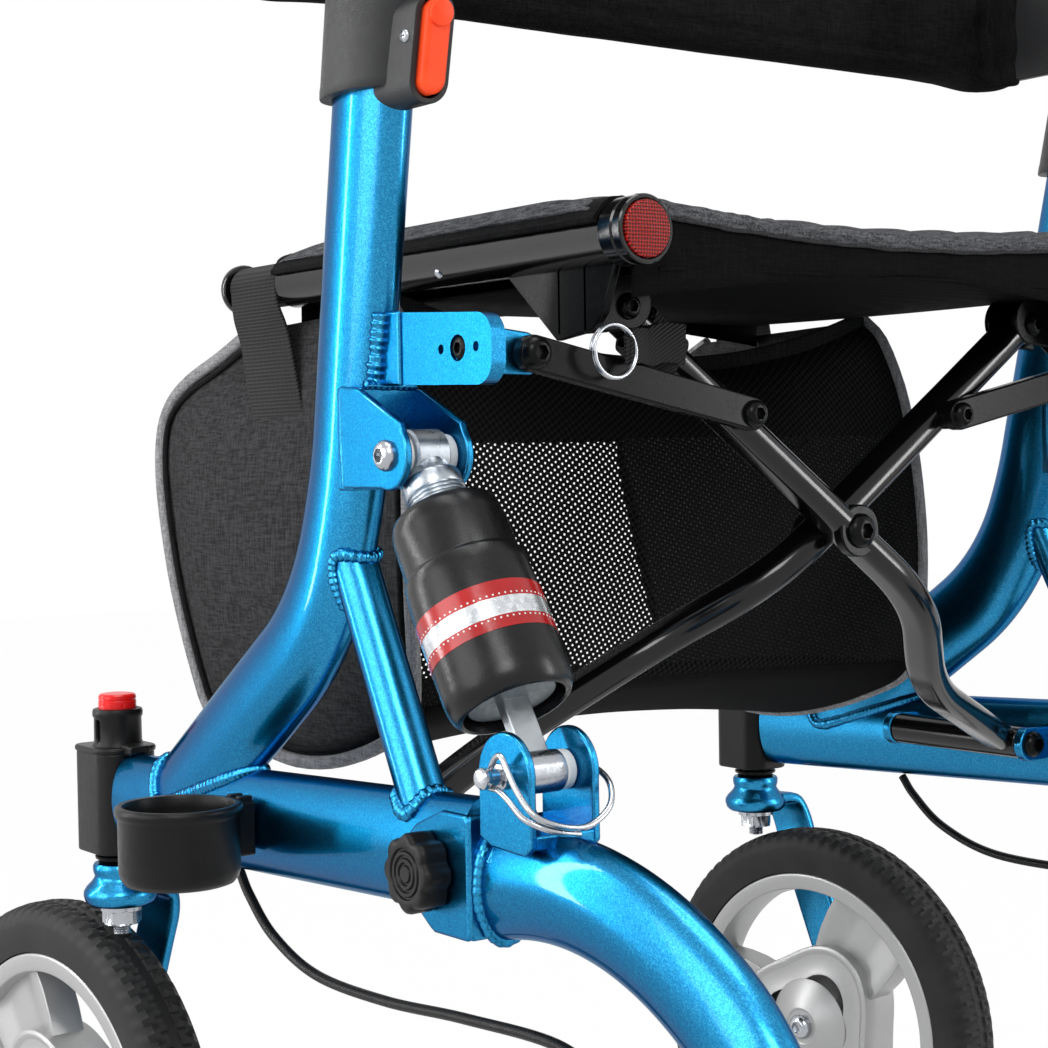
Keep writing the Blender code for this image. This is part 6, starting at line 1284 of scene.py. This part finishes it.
def seat_wrap(side, body):
    """The seat cloth's sleeve where it lies on a rail."""
    rings = []
    for k in range(161):
        y = RAIL_FRONT_Y + (RAIL_REAR_Y - 0.0170 - RAIL_FRONT_Y) * k / 160
        ring = []
        for inner, j in [(False, j) for j in range(15)] + [(True, j) for j in reversed(range(15))]:
            a = math.radians(14 + 92 * j / 14)
            spot = Vector((math.cos(a) * 40, y * 120, math.sin(a) * 40))
            lump = 0.0007 * (j == 1) + 0.0005 * noise.noise(spot)
            reach = RAIL_RADIUS + (0.0005 if inner else 0.0022 + lump)
            ring.append((RAIL_X + reach * math.cos(a), y, RAIL_Z + reach * math.sin(a)))
        rings.append(ring)
    made("seat_wrap", side, BACK_CLOTH, body, (skin, rings), smooth=50)


def seat_edges():
    """Flat valances and base below the top, and the rolled hems with their cords."""
    for end, y in (("rear", RAIL_REAR_Y - 0.0115), ("front", RAIL_FRONT_Y + 0.0015)):
        rings = []
        for k in range(61):
            x = RAIL_X * math.cos(math.pi * k / 60) * 0.985
            high = RAIL_Z + SEAT_TOP - 0.0050 - 0.010 * fill_at(x)
            low = RAIL_Z - 0.0185 - 0.010 * abs(x / RAIL_X) + 0.006 * fill_at(x)
            wave = 0.0010 * math.sin(x * 70)
            rings.append([(x, y + wave * s, high + (low - high) * s) for s in (0, 0.2, 0.4, 0.6, 0.8, 1.0)])
        rail_to_rail(cloth(f"seat_valance_{end}", UNDER_CLOTH, (strip, rings), 0.0014))
    rings = []
    for k in range(41):
        y = RAIL_FRONT_Y + 0.003 + (RAIL_REAR_Y - 0.0145 - RAIL_FRONT_Y) * k / 40
        sag = math.sin(math.pi * k / 40)
        places = [(RAIL_X - 0.0165) * math.cos(math.pi * j / 48) for j in range(49)]
        rings.append([(x, y, RAIL_Z - 0.0150 + (0.002 - 0.006 * sag) * fill_at(x)) for x in places])
    rail_to_rail(cloth("seat_base", UNDER_CLOTH, (strip, rings), 0.0014))
    for end, y, out in (("rear", RAIL_REAR_Y - 0.0140, 1), ("front", RAIL_FRONT_Y - 0.0002, -1)):
        rings, points = [], []
        for k in range(361):
            x = (RAIL_X - 0.0060) * (1 - k / 180)
            height = RAIL_Z + SEAT_TOP - 0.0098 * fill_at(x)
            pucker = noise.noise(Vector((x * 55, out, 0))) + 0.6 * noise.noise(Vector((x * 140, out, 3)))
            middle = Vector((x, y + out * 0.0012 * pucker, height - 0.0016 + 0.0010 * pucker * fill_at(x)))
            wide, tall = 0.0048 + 0.0009 * pucker, 0.0044 + 0.0007 * pucker
            rings.append([middle + Vector((0, wide * math.cos(t), tall * math.sin(t))) for t in turns(20)])
            if k % 2 == 0:
                points.append((x, y + out * 0.0034, height - 0.0050 + 0.0008
                               * noise.noise(Vector((x * 60, out, 7)))))
        rail_to_rail(cloth(f"seat_hem_{end}", SEAT_CLOTH, (skin, rings)))
        rail_to_rail(cloth(f"seat_cord_{end}", SIDE_CLOTH, (wire, points, 0.0009, 8)))


# The bag's side panel: from the front top corner, round the bottom, to the rear top corner
BAG_SIDE = mm([(0, -219, 575), (0, -252, 562), (0, -285, 551), (0, -305, 540), (0, -314, 528), (0, -316, 514),
               (0, -314, 498), (0, -310, 482), (0, -302, 456), (0, -294, 430), (0, -285, 404), (0, -276, 379),
               (0, -271, 367), (0, -262, 358), (0, -240, 351), (0, -206, 345), (0, -173, 342), (0, -138, 345),
               (0, -104, 353), (0, -78, 362), (0, -60, 370), (0, -51, 380), (0, -47, 398), (0, -46, 416),
               (0, -46, 450), (0, -48, 484), (0, -51, 513), (0, -56, 541), (0, -66, 568), (0, -78, 580)])


def bag_half(z):
    """Half width of the bag at a height."""
    return 0.160 + 0.016 * math.sin(math.pi * min(1.0, max(0.0, (z - 0.300) / 0.30)))


def crumple(co, size, depth):
    return depth * (noise.noise(co * size) + 0.5 * noise.noise(co * size * 2.3))


def bag_side(side, way, rim):
    """One cloth side with its piping and the seam inside it."""
    last, middle = len(rim) - 1, Vector((0, -0.175, 0.470))
    rings = []
    for share in (1.0, 0.93, 0.85, 0.72, 0.58, 0.42, 0.26, 0.12):
        ring = []
        for i in range(last + 12):
            spot = (rim[i] if i <= last else rim[last].lerp(rim[0], (i - last) / 12)).lerp(middle, 1 - share)
            spot.x = way * (bag_half(spot.z) + 0.010 * (1 - share ** 2))
            if i <= last:
                spot.x += way * crumple(spot, 14, 0.0035) * (1 - share ** 4)
            ring.append(spot)
        rings.append(ring)
    rings.append([Vector((way * (bag_half(middle.z) + 0.010), middle.y, middle.z))])
    piping = [(way * (bag_half(p.z) + 0.0020), p.y, p.z) for p in rim]
    inset = []
    for i, p in enumerate(rim):
        tangent = tangent_at(rim, i)
        inward = Vector((0, -tangent.z, tangent.y))
        q = p + inward * math.copysign(0.0075, (middle - p).dot(inward))
        inset.append((way * (bag_half(q.z) + 0.0030), q.y, q.z))
    cord = rounded_box(0.0036, 0.0030, 0.0026, steps=4)
    return [cloth(f"bag_side_{side}", SIDE_CLOTH, (skin, rings, False, False), 0.0016),
            cloth(f"bag_piping_{side}", PIPING, (sweep, piping, cord)),
            cloth(f"bag_seam_{side}", BINDING, (wire, inset, 0.0016, 8))]


def bag():
    """Sling of cloth sides and base with two net panels."""
    rim = curve_through(BAG_SIDE, 3)
    last = len(rim) - 1
    parts = bag_side("l", 1, rim) + bag_side("r", -1, rim)
    for key, start, end, material in (("front", 6, 39, NET_WINDOW), ("base", 39, 63, UNDER_CLOTH),
                                      ("rear", 63, last, NET)):
        rings = []
        for p in rim[start:end + 1]:
            half, lift, ring = bag_half(p.z), (p.z - 0.345) / 0.23, []
            for j in range(49):
                s = j / 24 - 1
                fill = 1 - s * s
                spot = Vector((half * s, p.y, p.z))
                if key == "front":
                    spot.y -= 0.008 * fill * math.sin(math.pi * min(1.0, lift))
                    spot.z -= 0.028 * fill * max(0.0, lift)
                elif key == "rear":
                    spot.y += 0.004 * fill
                    spot.z -= 0.030 * fill * max(0.0, lift) ** 2
                spot.z += (0.012 if key == "base" else 0.012 * max(0.0, 1 - lift * 3)) * fill
                spot.y += crumple(spot, 11, 0.0022) * fill
                ring.append(spot)
            rings.append(ring)
        parts.append(cloth(f"bag_{key}", material, (strip, rings), 0.0014 if key == "base" else 0.0))
    p, points = rim[last], []
    for s in (j / 30 - 1 for j in range(61)):
        points.append((bag_half(p.z) * s, p.y + 0.004 * (1 - s * s) + 0.001, p.z - 0.030 * (1 - s * s)))
    hem = rounded_box(0.0016, 0.0060, 0.0012, steps=3)
    parts.append(cloth("bag_rear_hem", BINDING, (sweep, points, hem, UP)))
    for part in parts:
        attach(part, "sling")
        fold_bag(part)
    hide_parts("bag")


def fold_bag(piece):
    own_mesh(piece)


def bag_strap(side, body):
    """Webbing that loops round a rail's neck and is sewn to the bag's side."""
    centre = (RAIL_X, RAIL_FRONT_Y - 0.027, RAIL_Z)
    tube = mm([(9.8, -24.5), (11.8, -24.5), (11.8, 24.5), (9.8, 24.5)])
    made("strap_loop", side, WEBBING, body, (turn, tube, centre, Y_AXIS, 48, True), smooth=35)
    run = mm([(10.8, 0, 599), (10.8, 2, 585), (9.5, 8, 568), (11, 19, 545), (12.5, 29, 522), (13.5, 33, 505)],
             RAIL_X, centre[1], 0)
    section = flat_box(0.0245, 0.0010, 0.0009, 2)
    fold_bag(made("bag_strap", side, WEBBING, "sling", (sweep, curve_through(run, 8), section, Y_AXIS),
                  smooth=35))


def backrest():
    """Padded band with two seams along it and folded ends."""
    low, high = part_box("backrest")
    tall = high.z - low.z
    corners = mm([(250, -26), (254, -60), (100, -64), (-100, -64), (-254, -60), (-250, -26)])
    run = fillet([(x, y, 0) for x, y in corners], 0.03, 10)
    dense = []
    for a, b in zip(run, run[1:]):
        count = max(1, round((b - a).length / 0.006))
        dense += [a.lerp(b, k / count) for k in range(count)]
    dense.append(run[-1])
    rings = []
    for i, point in enumerate(dense):
        tangent = tangent_at(dense, i)
        normal = Vector((tangent.y, -tangent.x, 0)).normalized()
        ends = min(1.0, 0.5 + 0.5 * min(i, len(dense) - 1 - i) / 14)
        middle = Vector((point.x, point.y, low.z + tall / 2))
        rings.append([middle + normal * a * ends + Vector((0, 0, b))
                      for a, b in rounded_box(0.0085, tall / 2 - 0.001, 0.0080, steps=4)])
    band = cloth("backrest_pad", BACK_CLOTH, (skin, rings))
    puff(band, 0.0040, 0.005)
    for vertex in band.data.vertices:
        co = vertex.co
        up = (co.z - low.z) / tall
        seams = math.exp(-((up - 0.80) * tall / 0.0022) ** 2) + math.exp(-((up - 0.20) * tall / 0.0022) ** 2)
        toward = 1 if co.y > -0.062 else -1
        ends = max(0.0, (abs(co.x) - 0.19) / 0.06)
        co.y -= toward * 0.0022 * seams
        co.y += toward * (0.0012 * noise.noise(co * 40) + ends * 0.0009 * math.sin(co.z * 210 + co.x * 90))
    change(band, "SUBSURF", levels=1, render_levels=1)
    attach(band, "frame_l")
    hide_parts("backrest")
    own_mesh(band)


seat_pad()
for side, key in TUBES.items():
    seat_wrap(side, f"brace_{key}")
seat_edges()
bag()
for side, key in TUBES.items():
    bag_strap(side, f"brace_{key}")
backrest()


# Camera, light and stage

def camera():
    data = bpy.data.cameras.new("view")
    data.sensor_width, data.lens, data.clip_start = 36.0, 72.81, 0.05
    eye = bpy.data.objects.new("view", data)
    bpy.context.scene.collection.objects.link(eye)
    azimuth, pitch, roll = (math.radians(v) for v in (143.86, 1.675, -0.942))
    forward = -Vector((math.sin(azimuth) * math.cos(pitch), -math.cos(azimuth) * math.cos(pitch),
                       math.sin(pitch)))
    right = forward.cross(UP).normalized()
    up = right.cross(forward)
    right, up = right * math.cos(roll) + up * math.sin(roll), up * math.cos(roll) - right * math.sin(roll)
    turned = Matrix((right, up, -forward)).transposed().to_4x4()
    eye.matrix_world = Matrix.Translation((0.7379, 0.8153, 0.5003)) @ turned
    bpy.context.scene.camera = eye


def lamp(name, place, aim, size, power):
    data = bpy.data.lights.new(name, "AREA")
    data.shape = "RECTANGLE"
    data.size, data.size_y = size
    data.energy = power
    light = bpy.data.objects.new(name, data)
    bpy.context.scene.collection.objects.link(light)
    light.location = place
    light.rotation_euler = (Vector(aim) - Vector(place)).to_track_quat("-Z", "Y").to_euler()


def shown_to_eye(tree, plain, shown, output, share=1.0):
    """Shows a second shader to the camera, and in metal and glass, and lights with the first."""
    path = tree.nodes.new("ShaderNodeLightPath")
    total = path.outputs["Is Camera Ray"]
    for operation, source in (("MAXIMUM", path.outputs["Is Glossy Ray"]),
                              ("MAXIMUM", path.outputs["Is Transmission Ray"]), ("MULTIPLY", share)):
        node = tree.nodes.new("ShaderNodeMath")
        node.operation = operation
        tree.links.new(total, node.inputs[0])
        if source is share:
            node.inputs[1].default_value = share
        else:
            tree.links.new(source, node.inputs[1])
        total = node.outputs[0]
    mix = tree.nodes.new("ShaderNodeMixShader")
    for number, source in enumerate((total, plain.outputs[0], shown.outputs[0])):
        tree.links.new(source, mix.inputs[number])
    tree.links.new(mix.outputs[0], tree.nodes[output].inputs[0])


def world():
    here = bpy.data.worlds.new("studio")
    bpy.context.scene.world = here
    here.use_nodes = True
    tree = here.node_tree
    plain, shown = tree.nodes["Background"], tree.nodes.new("ShaderNodeBackground")
    for node, strength in ((plain, 0.30), (shown, 1.0)):
        node.inputs["Color"].default_value = (1, 1, 1, 1)
        node.inputs["Strength"].default_value = strength
    shown_to_eye(tree, plain, shown, "World Output")


def floor():
    bm = bmesh.new()
    bmesh.ops.create_grid(bm, x_segments=1, y_segments=1, size=6)
    material = bpy.data.materials.new("floor")
    material.use_nodes = True
    tree = material.node_tree
    shader = tree.nodes["Principled BSDF"]
    shader.inputs["Base Color"].default_value = (0.86, 0.86, 0.86, 1)
    shader.inputs["Roughness"].default_value = 0.7
    shown_to_eye(tree, shader, tree.nodes.new("ShaderNodeEmission"), "Material Output", 0.98)
    give("floor", bm, material)


camera()
world()
floor()
lamp("left_strip", (1.44, -1.29, 0.95), (0.235, 0, 0.5), (0.12, 1.7), 17)
lamp("left_box", (2.40, -0.25, 1.05), (0.2, 0, 0.5), (1.5, 1.5), 24)
lamp("front_box", (1.35, 1.65, 1.85), (0.1, 0, 0.45), (0.9, 0.9), 26)
lamp("right_strip", (-1.5, 1.6, 0.9), (0, 0, 0.5), (0.26, 1.6), 20)
lamp("top_box", (0.2, 0.1, 2.5), (0, 0, 0.45), (1.3, 1.3), 26)

bpy.context.scene.view_settings.view_transform = "Standard"
